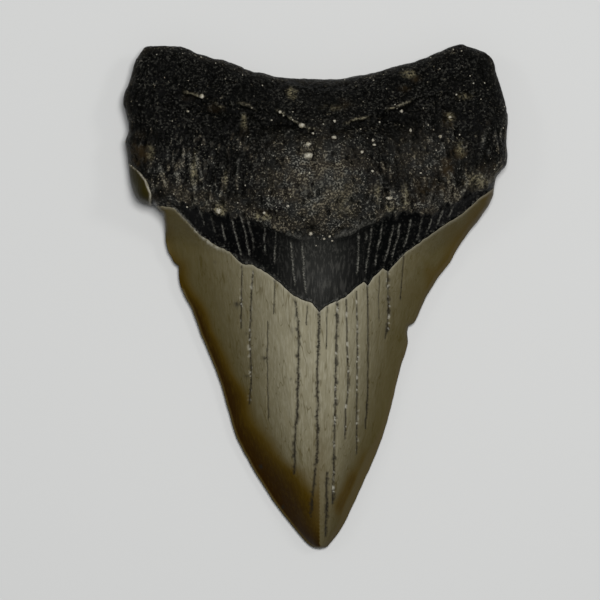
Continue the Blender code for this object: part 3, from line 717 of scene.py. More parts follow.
def lower_height(x, y, distance):
    """Height of the face that the tooth lies on, cut off flat where it rests."""
    rim = station(y, RIM_Z)
    on_root = ease(y - across(x, LABIAL_ENAMEL_EDGE), *LABIAL_BLEND)
    crown = rim * np.abs(sideways(x, y)) ** LABIAL_EDGE_POWER
    crown += LABIAL_BEND * (y - LABIAL_FLAT_Y) ** 2 - LABIAL_FLAT_DEPTH
    root = ROOT_LIFT + LABIAL_LUMP_RISE * flat_noise(x, y, LUMP_SIZE, 35.0)
    root += LABIAL_HOLLOW_DEPTH * hill(x, y, *LABIAL_HOLLOW)
    for centre in LOBE_CENTRES:
        root -= 2 * ROOT_LIFT * hill(x, y, centre, LOBE_RADII)
    inner = np.minimum(crown * (1 - on_root) + root * on_root, rim)
    edge = rounded(distance, rim_radius(y, LABIAL_RIM))
    return np.maximum(rim - (rim - inner) * edge, 0.0)


# %% [markdown]
# The two faces share the outline's points, so the skin is closed: the outline comes first
# in the list of points, then the inner points of each face. The mesh is made once here at
# its plain heights, because its normals are needed to push the relief outwards.

# %% Build the plain skin
rim_count = len(outline)


def lift(flat, faces, rim, height, first):
    """Inner points of one face with their heights, and its triangles in the whole mesh."""
    inner = rim < 0
    number = np.where(inner, first + np.cumsum(inner) - 1, rim)
    x, y = flat[inner, 0], flat[inner, 1]
    distance = to_outline(flat[inner])
    return np.column_stack([x, y, height(x, y, distance)]), number[faces], distance


rim_points = np.column_stack([outline, station(outline[:, 1], RIM_Z)])
top_points, top_triangles, top_distance = lift(top_flat, top_faces, top_rim, upper_height, rim_count)
first_low = rim_count + len(top_points)
low_points, low_triangles, low_distance = lift(low_flat, low_faces, low_rim, lower_height, first_low)
points = np.vstack([rim_points, top_points, low_points])
triangles = np.vstack([top_triangles, low_triangles[:, ::-1]])
distance = np.concatenate([np.zeros(rim_count), top_distance, low_distance])
is_low = np.arange(len(points)) >= first_low


def normals_of(places, faces):
    """A normal at each point, from the triangles round it."""
    corners = places[faces]
    across_face = np.cross(corners[:, 1] - corners[:, 0], corners[:, 2] - corners[:, 0])
    total = np.zeros_like(places)
    for k in range(3):
        np.add.at(total, faces[:, k], across_face)
    return total / np.maximum(np.linalg.norm(total, axis=1), 1e-12)[:, None]


normals = normals_of(points, triangles)
print("skin:", len(points), "points,", len(triangles), "triangles")

# %% [markdown]
# ## Which surface is where
#
# Every point gets a share of three surfaces: rough root, smooth neck and enamel. The shares
# steer the relief now and the materials later. They run from 0 to 1. The root meets the
# neck in a ragged edge, and the enamel ends sharply at its step.
# The drawn lines become strokes, which are 1 on the line and fade to both sides.

# %% Shares of the surfaces
# The enamel's lip on the left shoulder: raised on the neck's side, and painted with a glint on both
# sides.
ENAMEL_LIP_AND_GLINT = [
    (-34.6, 22.0), (-33.2, 20.9), (-30.4, 18.1), (-27.5, 14.7), (-24.8, 12.5), (-21.6, 11.0),
]
NECK_EDGE_WAVE = 0.6
NECK_WAVE_SIZE = 1.3
NECK_EDGE_TEETH = 1.5
NECK_TEETH_SIZE = 0.8
NECK_TEETH_SQUEEZE = 0.22
NECK_EDGE_SOFTNESS = 0.4
LABIAL_NECK_WIDTH = 2.5
CRACK_TAPER = 0.6
WRINKLE_WIDTH = 0.23
WRINKLE_TAPER = 1.4
STREAK_WIDTH = 0.9
STREAK_TAPER = 3.0
LEDGE_LIP_WIDTH = 0.50
ROOT_LIP_WIDTH = 1.0
ROOT_LIP_TAPER = 2.0
ENAMEL_LIP_WIDTH = 0.45

x, y = points[:, 0], points[:, 1]
above_enamel = y - np.where(is_low, labial_edge(x), enamel_edge(x))
on_flake = ~is_low & (outside_flake(x, y) < 0) & (y > FLAKE_EDGE[0][1] - 0.5)
enamel = (above_enamel <= 1e-6) | on_flake
ragged = NECK_EDGE_WAVE * flat_noise(x, y, NECK_WAVE_SIZE, 3.0)
ragged += NECK_EDGE_TEETH * flat_noise(x, NECK_TEETH_SQUEEZE * y, NECK_TEETH_SIZE, 6.0)
above_neck = np.where(is_low, above_enamel - LABIAL_NECK_WIDTH, y - across(x, NECK_TOP)) + ragged
rough = np.where(enamel, 0.0, ease(above_neck, -NECK_EDGE_SOFTNESS, NECK_EDGE_SOFTNESS))
neck = np.where(enamel, 0.0, 1 - rough)


def stroke(line, half_width, taper=1.2):
    """1 on a drawn line, 0 from half_width away, and fading out at its ends."""
    line = np.asarray(line, float)
    low, high = line.min(axis=0) - half_width, line.max(axis=0) + half_width
    near = ~is_low & (x > low[0]) & (x < high[0]) & (y > low[1]) & (y < high[1])
    px, py = x[near], y[near]
    best = np.full(len(px), np.inf)
    for a, b in zip(line[:-1], line[1:]):
        side = b - a
        t = np.clip(((px - a[0]) * side[0] + (py - a[1]) * side[1]) / (side @ side), 0, 1)
        best = np.minimum(best, np.hypot(px - a[0] - t * side[0], py - a[1] - t * side[1]))
    ends = [np.hypot(px - line[k, 0], py - line[k, 1]) for k in (0, -1)]
    value = np.zeros(len(x))
    value[near] = np.clip(1 - best / half_width, 0, 1) * np.clip(np.minimum(*ends) / taper, 0, 1)
    return value


def strokes(lines, half_width, taper=1.2):
    """The strongest of many strokes at each point."""
    widths = np.broadcast_to(half_width, len(lines))
    return np.max([stroke(line, width, taper) for line, width in zip(lines, widths)], axis=0)


def wrinkle_strength(k):
    """Wrinkles differ in strength, by turns."""
    return 0.45 + 0.11 * (7 * k % 6)


crack = strokes(cracks, CRACK_WIDTHS, CRACK_TAPER)
# Wrinkle crests: raised later, and painted with highlights.
crest = np.max([
    wrinkle_strength(k) * stroke(line, WRINKLE_WIDTH, WRINKLE_TAPER) for k, line in enumerate(wrinkles)
], axis=0)
streak = strokes(BONE_STREAKS, STREAK_WIDTH, STREAK_TAPER)
# The ledge's lips: worn bone, with painted glints on them.
lip = strokes(LEDGE_LIPS, LEDGE_LIP_WIDTH) * ease(flat_noise(x, y, 0.7, 12.0), -0.6, 0.05)
root_lip = strokes(ROOT_LIPS, ROOT_LIP_WIDTH, ROOT_LIP_TAPER) * (1 + 0.5 * flat_noise(x, y, 0.8, 24.0))
# The neck's side of the enamel's lip, raised and painted with a glint.
enamel_lip_and_glint = strokes([ENAMEL_LIP_AND_GLINT], ENAMEL_LIP_WIDTH) * ~enamel
print("points on cracks:", int((crack > 0).sum()), "and on wrinkles:", int((crest > 0).sum()))

# %% [markdown]
# ## Relief of the bone, the neck and the enamel
#
# Bone is uneven at every size, so several layers of smooth noise are added up, from lumps of
# a few millimetres down to grains. Below the ledge its fibres run towards the neck, and
# there the noise is drawn out along the tooth. Pores are scattered at random places of the
# skin and pressed in as small oval bowls. On the neck the wrinkles stand out, and where it
# meets the enamel it crumbles. The enamel is cracked and chipped. All of it is pushed out
# along the skin's own normals, so the steep rim gets as much texture as the top.
# A layer of the bone's noise is a size and a height. The noises of neck and enamel are a
# size, a seed and, where they are drawn out, a stretch.

# %% Relief
BONE_LAYERS = [(2.8, 0.42), (1.25, 0.26), (0.70, 0.16)]
FIBRE_SIZE = 0.75
FIBRE_HEIGHT = 0.24
FIBRE_STRETCH = (1, 5, 1)
FIBRES_BELOW_LEDGE = (3.0, 13.0)
FIBRES_TAKE = 0.4
BOSS_TOP = (0.5, 25.0), (13.0, 11.0)
BOSS_SMOOTHNESS = 0.45
PORE_COUNT = 1200
PORE_RADII = (0.34, 0.85)
PORE_DEPTHS = (0.12, 0.50)
PORE_STRETCH = (1.15, 0.6, 1.0)
CRACK_DEPTH = 0.36
CRACK_CHIP_DEPTH = 0.14
CRACK_CHIP_WIDTH = 0.6
CHIPPED_CRACKS = [0, 1, 8, 9, 10, 13]
BLOTTED_CRACKS = [4, 6, 8, 13, 15]
WRINKLE_RISE = 0.30
STREAK_RISE = 0.28
LIP_RISE = 0.75
ROOT_LIP_RISE = 0.40
LIP_UNDERCUT = 0.75
ROOT_UNDERCUT_SHARE = 0.6
LEDGE_SHADOW_DROP = 1.1
LEDGE_SHADOW_WIDTH = 1.2
ROOT_SHADOW_DROP = 1.7
CRUMB_HEIGHT = 0.22
FINE_CREST_RISE = 0.05
FINE_CREST_WIDTH = 0.08
FINE_CRESTS_FROM_RIDGE = (6, 11)
CRUMBLY_WIDTH = 1.4
ENAMEL_LIP_RISE = 0.25
ENAMEL_WAVE = 0.05
NECK_FIBRES = (0.8, 72, (1, 9, 1))
CRUMBS = (0.55, 81)
ENAMEL_WAVES = (1.7, 74, (1, 14, 1))
ENAMEL_CHIPS = (0.5, 76, (1, 2, 1))
EDGE_SETTLES = (0.05, 0.8)
BONE_EDGE_SETTLES = (0.0, 3.0)
BONE_EDGE_KEEPS = 0.3


def on_some(mask, values_of):
    """Work values out only where a mask holds, and leave 0 elsewhere."""
    result = np.zeros(len(points))
    result[mask] = values_of(points[mask])
    return result


boss = hill(x, y, *BOSS_TOP) * ~is_low
coarse = (1 - BOSS_SMOOTHNESS * boss) * rough
is_bone = rough > 0
bone = sum(
    height * on_some(is_bone, lambda p: noise_at(p, size, 60 + k))
    for k, (size, height) in enumerate(BONE_LAYERS)
)
fibrous = ease(across(x, LEDGE) - y, *FIBRES_BELOW_LEDGE)
fibres = FIBRE_HEIGHT * on_some(is_bone, lambda p: noise_at(p, FIBRE_SIZE, 70, FIBRE_STRETCH))
relief = coarse * (bone * (1 - FIBRES_TAKE * fibrous) + fibres * fibrous)


def press_pores(count, seed):
    """Small bowls at random points of the bone: how deep the skin is pressed in."""
    draw = np.random.default_rng(seed)
    chance = coarse / coarse.sum()
    centres = draw.choice(len(points), size=count, p=chance)
    radii = draw.uniform(*PORE_RADII, count)
    depths = draw.uniform(*PORE_DEPTHS, count)
    tree = kdtree.KDTree(len(points))
    squeezed = points * PORE_STRETCH
    for i, place in enumerate(squeezed):
        tree.insert(place, i)
    tree.balance()
    pressed = np.zeros(len(points))
    for centre, radius, depth in zip(centres, radii, depths):
        for _, i, away in tree.find_range(squeezed[centre], radius):
            pressed[i] = max(pressed[i], depth * (1 - (away / radius) ** 2))
    return pressed


def lowered(lines, drop):
    """The same lines, a little nearer the tip."""
    return [np.array(line) - (0.0, drop) for line in lines]


pores = press_pores(PORE_COUNT, 11) * rough
ledge_shadow = strokes(lowered(LEDGE_LIPS, LEDGE_SHADOW_DROP), LEDGE_SHADOW_WIDTH)
root_shadow = strokes(lowered(ROOT_LIPS, ROOT_SHADOW_DROP), ROOT_LIP_WIDTH, ROOT_LIP_TAPER)
# The hollows under the lips, pressed in here and painted with shadow later.
undercut_and_shadow = np.maximum(ledge_shadow, ROOT_UNDERCUT_SHARE * root_shadow)
relief += STREAK_RISE * streak * rough + LIP_RISE * lip + ROOT_LIP_RISE * root_lip
relief -= pores + LIP_UNDERCUT * undercut_and_shadow

neck_fibres = on_some(neck > 0.01, lambda p: noise_at(p, *NECK_FIBRES))
fine_crest = neck * ease(1 - np.abs(neck_fibres) / FINE_CREST_WIDTH, 0.0, 1.0)
fine_crest *= ease(np.abs(x - RIDGE_X), *FINE_CRESTS_FROM_RIDGE)
crumbly = neck * ~is_low * ease(CRUMBLY_WIDTH - above_enamel, 0.0, CRUMBLY_WIDTH / 2)
crumbs = on_some(crumbly > 0, lambda p: noise_at(p, *CRUMBS))
crest = ease(crest * (1 + 0.9 * flat_noise(x, y, 0.9, 15.0)), 0.15, 0.75)
relief += CRUMB_HEIGHT * crumbly * crumbs
relief += neck * (FINE_CREST_RISE * fine_crest + WRINKLE_RISE * crest + ENAMEL_LIP_RISE * enamel_lip_and_glint)

waves = on_some(enamel, lambda p: noise_at(p, *ENAMEL_WAVES))
chips = on_some(enamel, lambda p: noise_at(p, *ENAMEL_CHIPS))
near_crack = strokes([cracks[k] for k in CHIPPED_CRACKS], CRACK_CHIP_WIDTH, 1.0)
chipped = ease(chips, 0.22, 0.5) * ease(near_crack, 0.3, 0.75)
relief += enamel * (ENAMEL_WAVE * waves - CRACK_DEPTH * crack - CRACK_CHIP_DEPTH * chipped)

on_bone = BONE_EDGE_KEEPS + (1 - BONE_EDGE_KEEPS) * ease(distance, *BONE_EDGE_SETTLES)
relief *= np.where(rough > 0.5, on_bone, ease(distance, *EDGE_SETTLES))
print("relief from", round(relief.min(), 2), "to", round(relief.max(), 2), "mm")

# %% [markdown]
# ## Stains and painted light, drawn as soft patches
#
# Minerals coloured the tooth unevenly. Instead of a picture, each stain is an ellipse with
# soft edges, at its place in millimetres, and bands follow the distance from an edge. Light
# and shade are painted in the same way: painted shade in the pits, under the lips and over
# the lobes, and painted highlights and glints on the boss, the edges, the crests and the
# enamel's lip.
# Eight shares are kept on the mesh: pale for worn ridges and painted highlights, brown for
# iron stains, cream for lime, dark for painted shade in hollows, pores and under lips and for
# dirt and dust on the enamel, neck for the smooth part, grey_neck for its duller middle,
# shade for the enamel's flanks and tip, partly ochre and partly painted shade, and fleck for
# its bright chips and painted glints. The materials break them up with grain later.
# A row of a table of patches says where the middle is, two radii and a strength.

# %% Stains, painted light and shade
BROWN_PATCHES = [
    (-41.6, 34.6, 3.0, 4.4, 1.0), (-29.6, 47.6, 2.4, 1.0, 0.8), (-23.8, 44.9, 2.6, 1.0, 0.7),
    (33.8, 34.0, 3.0, 2.2, 0.8), (31.1, 30.6, 2.6, 3.0, 0.7), (31.6, 42.5, 2.2, 2.4, 0.6),
    (6.0, 45.6, 3.6, 1.6, 0.5), (23.9, 51.8, 1.6, 1.2, 0.6), (4.6, 37.6, 1.6, 1.4, 0.7),
    (-11.9, 19.9, 2.0, 1.0, 0.7), (26.6, 25.0, 5.0, 3.6, 0.55), (41.0, 30.6, 2.8, 2.6, 0.5),
    (-17.0, 39.0, 1.4, 1.4, 0.5), (21.0, 49.6, 1.8, 0.9, 0.6),
]
CREAM_PATCHES = [
    (-5.6, 48.4, 1.5, 1.5, 0.8), (22.2, 53.2, 2.0, 1.2, 0.7), (35.2, 47.8, 1.8, 0.9, 0.8),
    (-12.4, 18.9, 2.4, 0.9, 0.8), (5.8, 23.0, 4.4, 5.0, 0.35), (-17.0, 41.6, 1.0, 2.6, 0.5),
    (-39.2, 34.4, 1.0, 2.4, 0.6), (31.9, 42.6, 1.2, 1.6, 0.6), (-28.8, 30.4, 1.0, 4.4, 0.7),
    (21.0, 23.2, 1.3, 4.0, 0.5), (14.6, 24.6, 0.9, 3.0, 0.5), (34.4, 35.0, 1.2, 2.0, 0.6),
    (4.0, 45.0, 3.4, 1.2, 0.3), (-21.4, 27.6, 0.7, 2.6, 0.5), (-22.8, 20.2, 1.5, 2.2, 0.9),
    (17.4, 21.0, 2.0, 1.2, 0.4), (-0.6, 21.0, 6.0, 3.0, 0.2), (38.4, 27.6, 3.4, 2.4, 0.55),
]
# Painted shade: dark patches in the pits, under the ledge and over the lobes.
SHADE_PATCHES = [
    (-42.6, 40.8, 2.6, 1.2, 1.0), (-8.8, 40.9, 5.4, 1.5, 1.0), (20.3, 42.3, 4.6, 1.7, 1.0),
    (38.6, 39.2, 1.7, 3.6, 1.0), (-36.8, 24.6, 2.3, 1.5, 1.0), (-1.2, 16.2, 2.4, 0.8, 1.0),
    (34.2, 27.4, 0.5, 1.8, 1.0), (-0.6, 33.2, 0.45, 3.4, 1.0), (-20.6, 44.0, 2.6, 1.2, 0.8),
    (13.6, 35.4, 1.6, 4.0, 0.5), (-38.0, 37.2, 1.6, 2.2, 0.7), (35.0, 46.6, 2.0, 1.0, 0.7),
    (-34.6, 44.4, 6.0, 3.4, 0.5), (34.0, 50.6, 8.0, 5.0, 0.6), (41.2, 32.4, 0.8, 1.8, 0.8),
]
SMUDGES = [
    (-18.8, -1.9, 0.9, 1.3, 0.45), (-12.1, -14.6, 1.5, 0.7, 0.50), (-16.2, -8.9, 0.7, 1.1, 0.40),
    (-16.4, -19.0, 1.2, 0.6, 0.45), (-5.6, -7.9, 0.6, 1.1, 0.35), (-5.9, -19.4, 0.6, 0.9, 0.35),
    (-23.9, 8.4, 0.6, 0.6, 0.35), (-13.1, -40.8, 0.45, 0.55, 0.9), (-7.8, -50.6, 0.45, 0.5, 0.9),
    (0.4, -26.8, 0.5, 1.2, 0.9), (2.7, -49.4, 0.5, 2.2, 0.9), (12.4, -26.8, 0.5, 0.5, 0.5),
    (17.0, -8.0, 0.5, 2.2, 0.5), (-4.3, -27.0, 0.45, 3.2, 0.7),
]
TIP_GUTTER = [(14.2, -35.0), (12.2, -39.5), (9.6, -44.0), (7.4, -48.0), (5.2, -52.0), (3.4, -55.0)]
# The ridge near the tip, which gets a painted highlight.
TIP_RIDGE = [(1.4, -30.0), (1.0, -40.0), (1.2, -48.0), (1.3, -57.0)]
BROWN_BAND_WIDTHS = [
    (-60, 7.0), (-50, 12.0), (-42, 10.5), (-32, 7.6), (-20, 5.4), (-8, 4.0), (22, 2.4),
]
BROWN_BAND_STRENGTHS = [(-60, 1.0), (-4, 0.95), (6, 0.55), (12, 0.30), (22, 0.30)]
GUTTER_STAIN = 0.56
CRUMBLY_BAND = [(-17.5, 9.6), (-12.0, 5.4), (-8.0, 2.4), (-3.2, -0.4)]
# Width of the painted highlight along the crown's left edge.
EDGE_HIGHLIGHT_WIDTH = 0.55
BLOTCH_SIZE = 1.1
CRACK_BEADS = (0.9, 78, (1, 1.6, 1))
# Widths of the painted highlight on the crown's right bevel, along the tooth.
BEVEL_HIGHLIGHT_WIDTHS = [
    (-60, 0.8), (-50, 1.8), (-38, 2.2), (-30, 0.8), (-10, 0.4), (4, 0.9), (20, 1.0), (26, 0.3),
]

blotches = flat_noise(x, y, BLOTCH_SIZE, 21.0)


def patches(table):
    """The strongest of many soft ellipses at each point of the upper face."""
    soft = np.max([s * hill(x, y, (px, py), (rx, ry)) for px, py, rx, ry, s in table], axis=0)
    return ~is_low * ease(soft * (1 + 0.9 * blotches), 0.05, 0.95)


def along_tooth(table):
    """A value given at a few places along the tooth, at each point."""
    return np.interp(y, *np.array(table).T)


def strongest(layers):
    """The strongest of several masks at each point, each with its own strength."""
    return np.max([strength * mask for strength, mask in layers], axis=0)


left = enamel & (x < RIDGE_X) & ~on_flake
right = enamel & (x > RIDGE_X)
inside_flake = -outside_flake(x, y)
band_edge = along_tooth(BROWN_BAND_WIDTHS) * (1 + 0.25 * flat_noise(x, y, 6.0, 9.0))
band = left * along_tooth(BROWN_BAND_STRENGTHS) * (1 - ease(distance, 0.0, 1.4 * band_edge))
# Painted highlight along the crown's edges, widest where the right bevel faces the light.
bevel = along_tooth(BEVEL_HIGHLIGHT_WIDTHS)
edge_highlight = left * (y < 2) * (1 - ease(distance, 0.3 * EDGE_HIGHLIGHT_WIDTH, EDGE_HIGHLIGHT_WIDTH))
edge_highlight = np.maximum(edge_highlight, right * (1 - ease(distance, 0.7 * bevel, 1.2 * bevel)))

beads = on_some(crack > 0, lambda p: noise_at(p, *CRACK_BEADS))
crack_dust = ease(crack + 0.45 * beads, 0.08, 0.45) * (crack > 0)
blots = enamel * strokes([cracks[k] for k in BLOTTED_CRACKS], 0.8, 2.0)
blots = ease(blots * (0.4 + 2.2 * flat_noise(x, y, 1.0, 27.0)), 0.25, 0.6)

upper_bone = rough * ~is_low
pale = strongest([
    # Raised lips, crests and streaks: worn bone, with painted glints on the ledge's lips and painted
    # highlights on the neck's crests and the enamel's lip.
    (1.0, lip), (1.0, enamel_lip_and_glint), (0.95, crest * neck), (0.8, streak * rough), (0.42, root_lip),
    # Painted highlight where the root faces the light: just above the neck, on the boss and to its right.
    (0.34, upper_bone * (1 - ease(above_neck, 1.0, 9.0))),
    (0.55, upper_bone * hill(x, y, (0.5, 27.0), (14.5, 13.0))),
    (0.28, upper_bone * hill(x, y, (25.0, 33.0), (12.0, 8.0))),
    # Painted rim light along the bone's outline, where it is also worn smooth.
    (0.22, rough * (1 - ease(distance, 0.4, 2.4))),
    (0.55, coarse * fibrous * ease(fibres / FIBRE_HEIGHT, 0.05, 0.5)),
    # Painted glints on the crumbs at the enamel's edge and on the neck's fine crests.
    (0.45, crumbly * ease(crumbs, 0.1, 0.45)), (0.14, fine_crest),
    # Painted highlights on the crown's edges, the flake's rim and the ridge near the tip.
    (0.75, edge_highlight), (0.8, on_flake * (1 - ease(inside_flake, 0.2, 0.8))),
    (0.5, enamel * strokes([TIP_RIDGE], 3.0, 6.0)),
])
# Bright chips beside some cracks, partly painted highlights, and painted glints on the enamel's lip,
# along its upper edge and round the flake.
fleck = strongest([
    (1.0, enamel * chipped),
    (1.0, enamel * strokes([ENAMEL_LIP_AND_GLINT], 0.55) * ease(flat_noise(x, y, 0.6, 18.0), -0.3, 0.2)),
    (0.28, enamel * ~is_low * ~on_flake * (1 - ease(-above_enamel, 0.15, 0.8))),
    (0.9, on_flake * (1 - ease(inside_flake, 0.15, 0.55))),
])
uneven = 1 + 0.6 * flat_noise(x, 0.4 * y, 2.6, 33.0)
gutter = GUTTER_STAIN * right * ease(strokes([TIP_GUTTER], 4.0, 5.0) * uneven, 0.0, 1.0)
brown = strongest([
    (1.0, patches(BROWN_PATCHES) * ~enamel), (1.0, np.maximum(band, gutter) * (1 - edge_highlight)),
    (0.40, right * (1 - ease(distance * uneven, 0.6, 5.0)) * ease(y, -8.0, 8.0)),
])
cream = strongest([(1.0, patches(CREAM_PATCHES) * rough), (0.7, lip), (1.0, on_flake)])
# Painted shade in the pits, over the lobes, under the lips and in deep pores; on the enamel, dirt
# smudges, dust in cracks and blots.
dark = strongest([
    (1.0, patches(SHADE_PATCHES) * ~enamel), (1.0, np.minimum(1.6 * patches(SMUDGES), 1.0) * enamel),
    (1.0, crack_dust * enamel), (0.8, blots * enamel), (0.9, undercut_and_shadow), (1.0, ease(pores, 0.12, 0.35)),
])
grey_neck = neck * strongest([
    (1.0, hill(x, y, (0.5, 7.0), (8.5, 14.0))), (0.6, strokes([CRUMBLY_BAND], 1.5, 2.0)),
])
# Darker towards the crown's sides and tip: partly ochre, partly painted shade of the flanks turned away
# from the light.
flank, towards_tip = ease(np.abs(sideways(x, y)), 0.12, 0.9), ease(-y, 12, 60)
shade = enamel * (1 - (1 - 0.85 * flank) * (1 - 0.75 * towards_tip))
SHARES = {
    "pale": pale, "brown": brown, "cream": cream, "dark": dark, "neck": neck, "grey_neck": grey_neck,
    "shade": shade, "fleck": fleck,
}
print({name: round(float(share.mean()), 3) for name, share in SHARES.items()})

# %% [markdown]
# ## The mesh
#
# Now the relief moves the points, and everything becomes one closed mesh with two material
# slots, bone and enamel, split exactly along the enamel's edge. The shares go along as
# attributes of the points. A flat map of both faces side by side is stored too, for anyone
# who wants to paint or bake on it.

# %% Make the tooth
MAP_MARGIN = 0.01
MAP_HALF = 0.5


def make_mesh(name, places, faces):
    """A smooth-shaded mesh object from points in millimetres."""
    mesh = bpy.data.meshes.new(name)
    mesh.from_pydata((places * MM).tolist(), [], faces.tolist())
    mesh.shade_smooth()
    made = bpy.data.objects.new(name, mesh)
    bpy.context.scene.collection.objects.link(made)
    return made


def add_share(mesh, name, values):
    """Store one value a point under a name that materials can read."""
    mesh.attributes.new(name, "FLOAT", "POINT").data.foreach_set("value", np.asarray(values, np.float32))


def add_flat_map(mesh, places, faces, low_faces):
    """A map of both faces seen from above, side by side."""
    low, high = places.min(axis=0), places.max(axis=0)
    share = (places[:, :2] - low[:2]) / (high[:2] - low[:2])
    spots = share[faces.ravel()] * (MAP_HALF - 2 * MAP_MARGIN, 1 - 2 * MAP_MARGIN) + MAP_MARGIN
    spots[np.repeat(low_faces, 3), 0] += MAP_HALF
    mesh.uv_layers.new(name="OFBake").data.foreach_set("uv", spots.ravel())


moved = points + normals * relief[:, None]
moved[:, 2] = np.maximum(moved[:, 2], 0.0)
tooth = make_mesh("fossil_tooth", moved, triangles)
low_triangle = np.arange(len(triangles)) >= len(top_triangles)
middle = points[triangles].mean(axis=1)
top_enamel = middle[:, 1] < enamel_edge(middle[:, 0])
top_enamel |= (outside_flake(middle[:, 0], middle[:, 1]) < 0) & (middle[:, 1] > FLAKE_EDGE[0][1])
low_enamel = middle[:, 1] < labial_edge(middle[:, 0])
is_enamel = np.where(low_triangle, low_enamel, top_enamel)
tooth.data.polygons.foreach_set("material_index", is_enamel.astype(np.int32))
for share_name, values in SHARES.items():
    add_share(tooth.data, share_name, values)
add_flat_map(tooth.data, moved, triangles, low_triangle)
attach(tooth, "root")
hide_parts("tooth")
print("mesh had to be mended:", tooth.data.validate(), "size", tooth.dimensions)

# %% [markdown]
# ## Helpers for materials
#
# A material is a small program of nodes. This class adds nodes, links what is a socket and
# sets what is a number. Its paint lays colours over each other like thin coats, each
# through a mask of its own. The grain that every material uses becomes one node group with
# named sockets.

# %% Node helpers
class Nodes:
    """Adds nodes to a tree. An input that is a socket is linked, any other is set."""

    def __init__(self, tree):
        self.tree = tree

    def add(self, kind, inputs=None, **settings):
        node = self.tree.nodes.new("ShaderNode" + kind)
        for name, value in settings.items():
            setattr(node, name, value)
        for key, value in (inputs or {}).items():
            self.feed(node.inputs[key], value)
        return node

    def feed(self, socket, value):
        if isinstance(value, bpy.types.NodeSocket):
            self.tree.links.new(value, socket)
        else:
            socket.default_value = value

    def math(self, operation, a, b=0.0, clamp=False):
        return self.add("Math", {0: a, 1: b}, operation=operation, use_clamp=clamp).outputs[0]

    def times(self, a, b):
        return self.math("MULTIPLY", a, b)

    def vector(self, operation, a, b):
        return self.add("VectorMath", {0: a, 1: b}, operation=operation).outputs[0]

    def share(self, name):
        return self.add("Attribute", attribute_name=name).outputs["Fac"]

    def mix(self, factor, a, b):
        return self.add("Mix", {0: factor, 6: a, 7: b}, data_type="RGBA").outputs[2]

    def paint(self, base, coats):
        """Lay colours over a base one after the other, each through its own mask."""
        for mask, coat in coats:
            base = self.mix(mask, base, coat)
        return base

    def between(self, value, low, high, to_low=0.0, to_high=1.0):
        """Stretch a value's range, clamped, with soft ends."""
        inputs = {"Value": value, "From Min": low, "From Max": high, "To Min": to_low, "To Max": to_high}
        return self.add("MapRange", inputs, interpolation_type="SMOOTHSTEP").outputs["Result"]

    def group(self, group, **inputs):
        """Place a node group. Underscores in the input names stand for spaces."""
        node = self.tree.nodes.new("ShaderNodeGroup")
        node.node_tree = group
        for name, value in inputs.items():
            self.feed(node.inputs[name.replace("_", " ")], value)
        return node.outputs


def colour(red, green, blue):
    return (red, green, blue, 1.0)


def new_group(name, inputs, outputs):
    """An empty node group with named sockets: its nodes, its input sockets, its output node."""
    tree = bpy.data.node_groups.new(name, "ShaderNodeTree")
    for label, kind, value in inputs:
        socket = tree.interface.new_socket(label, in_out="INPUT", socket_type="NodeSocket" + kind)
        socket.default_value = value
    for label in outputs:
        tree.interface.new_socket(label, in_out="OUTPUT", socket_type="NodeSocketFloat")
    nodes = Nodes(tree)
    return nodes, tree.nodes.new("NodeGroupInput").outputs, tree.nodes.new("NodeGroupOutput")


# %% [markdown]
# Grain is noise cut off at a level: Coverage says how much of the surface it takes, Softness
# how sharp its borders are, and Stretch draws it out along the tooth. It also hands out its
# uncut noise as Height, so the same grains that colour the surface can roughen it.

# %% Grain group
def make_grain():
    nodes, given, out = new_group("grain", [
        ("Place", "Vector", (0, 0, 0)), ("Size", "Float", 0.001), ("Stretch", "Float", 1.0),
        ("Coverage", "Float", 0.5), ("Softness", "Float", 0.1), ("Detail", "Float", 2.0),
    ], ["Mask", "Height"])
    scale = nodes.math("DIVIDE", 1.0, given["Size"])
    long_scale = nodes.math("DIVIDE", scale, given["Stretch"])
    scales = nodes.add("CombineXYZ", {"X": scale, "Y": long_scale, "Z": scale}).outputs[0]
    place = nodes.vector("MULTIPLY", given["Place"], scales)
    inputs = {"Vector": place, "Scale": 1.0, "Detail": given["Detail"], "Roughness": 0.6}
    height = nodes.add("TexNoise", inputs).outputs[0]
    level = nodes.between(given["Coverage"], 0.0, 1.0, 0.75, 0.25)
    low = nodes.math("SUBTRACT", level, given["Softness"])
    high = nodes.math("ADD", level, given["Softness"])
    nodes.feed(out.inputs["Mask"], nodes.between(height, low, high))
    nodes.feed(out.inputs["Height"], height)
    return nodes.tree


def speckle(nodes, size, **inputs):
    """The grain on an object's own coordinates, with a size in millimetres."""
    place = nodes.add("TexCoord").outputs["Object"]
    return nodes.group(grain, Place=place, Size=size * MM, **inputs)


grain = make_grain()
print("group", grain.name, "with", len(grain.nodes), "nodes")

# %% [markdown]
# ## Bone and neck
#
# The root turned black, with a salt and pepper of paler grains, and the paler specks also
# stand in for painted glints of the glossy bone. Worn places show grey, and so do places
# painted lighter as highlights where the bone faces the light, and here and there the
# grains are a warmer brown. Hollows and the shadows under lips are painted black. The neck
# is the same black but smooth and glossy, with painted highlights on the crests of its
# wrinkles and painted glints at the enamel's lip. One material makes both, because they
# meet in a ragged edge: the neck's share on the mesh takes the grain out and brings the
# gloss in.

# %% Bone material
BONE_BLACK = colour(0.0010, 0.0010, 0.0008)
BONE_GREY = colour(0.0245, 0.0238, 0.0198)
# Pale grains, which also stand in for painted glints of the glossy bone.
BONE_SPECK_AND_GLINT = colour(0.108, 0.105, 0.088)
# Worn bone, and the painted highlights on the boss, the lips and the rim.
BONE_PALE = colour(0.120, 0.115, 0.092)
WARM_SPECK = colour(0.104, 0.091, 0.063)
BONE_BROWN = colour(0.015, 0.0098, 0.0040)
WARM_GREY = colour(0.0200, 0.0170, 0.0125)
LIME_CREAM = colour(0.135, 0.118, 0.070)
NECK_BLACK = colour(0.0008, 0.0009, 0.0009)
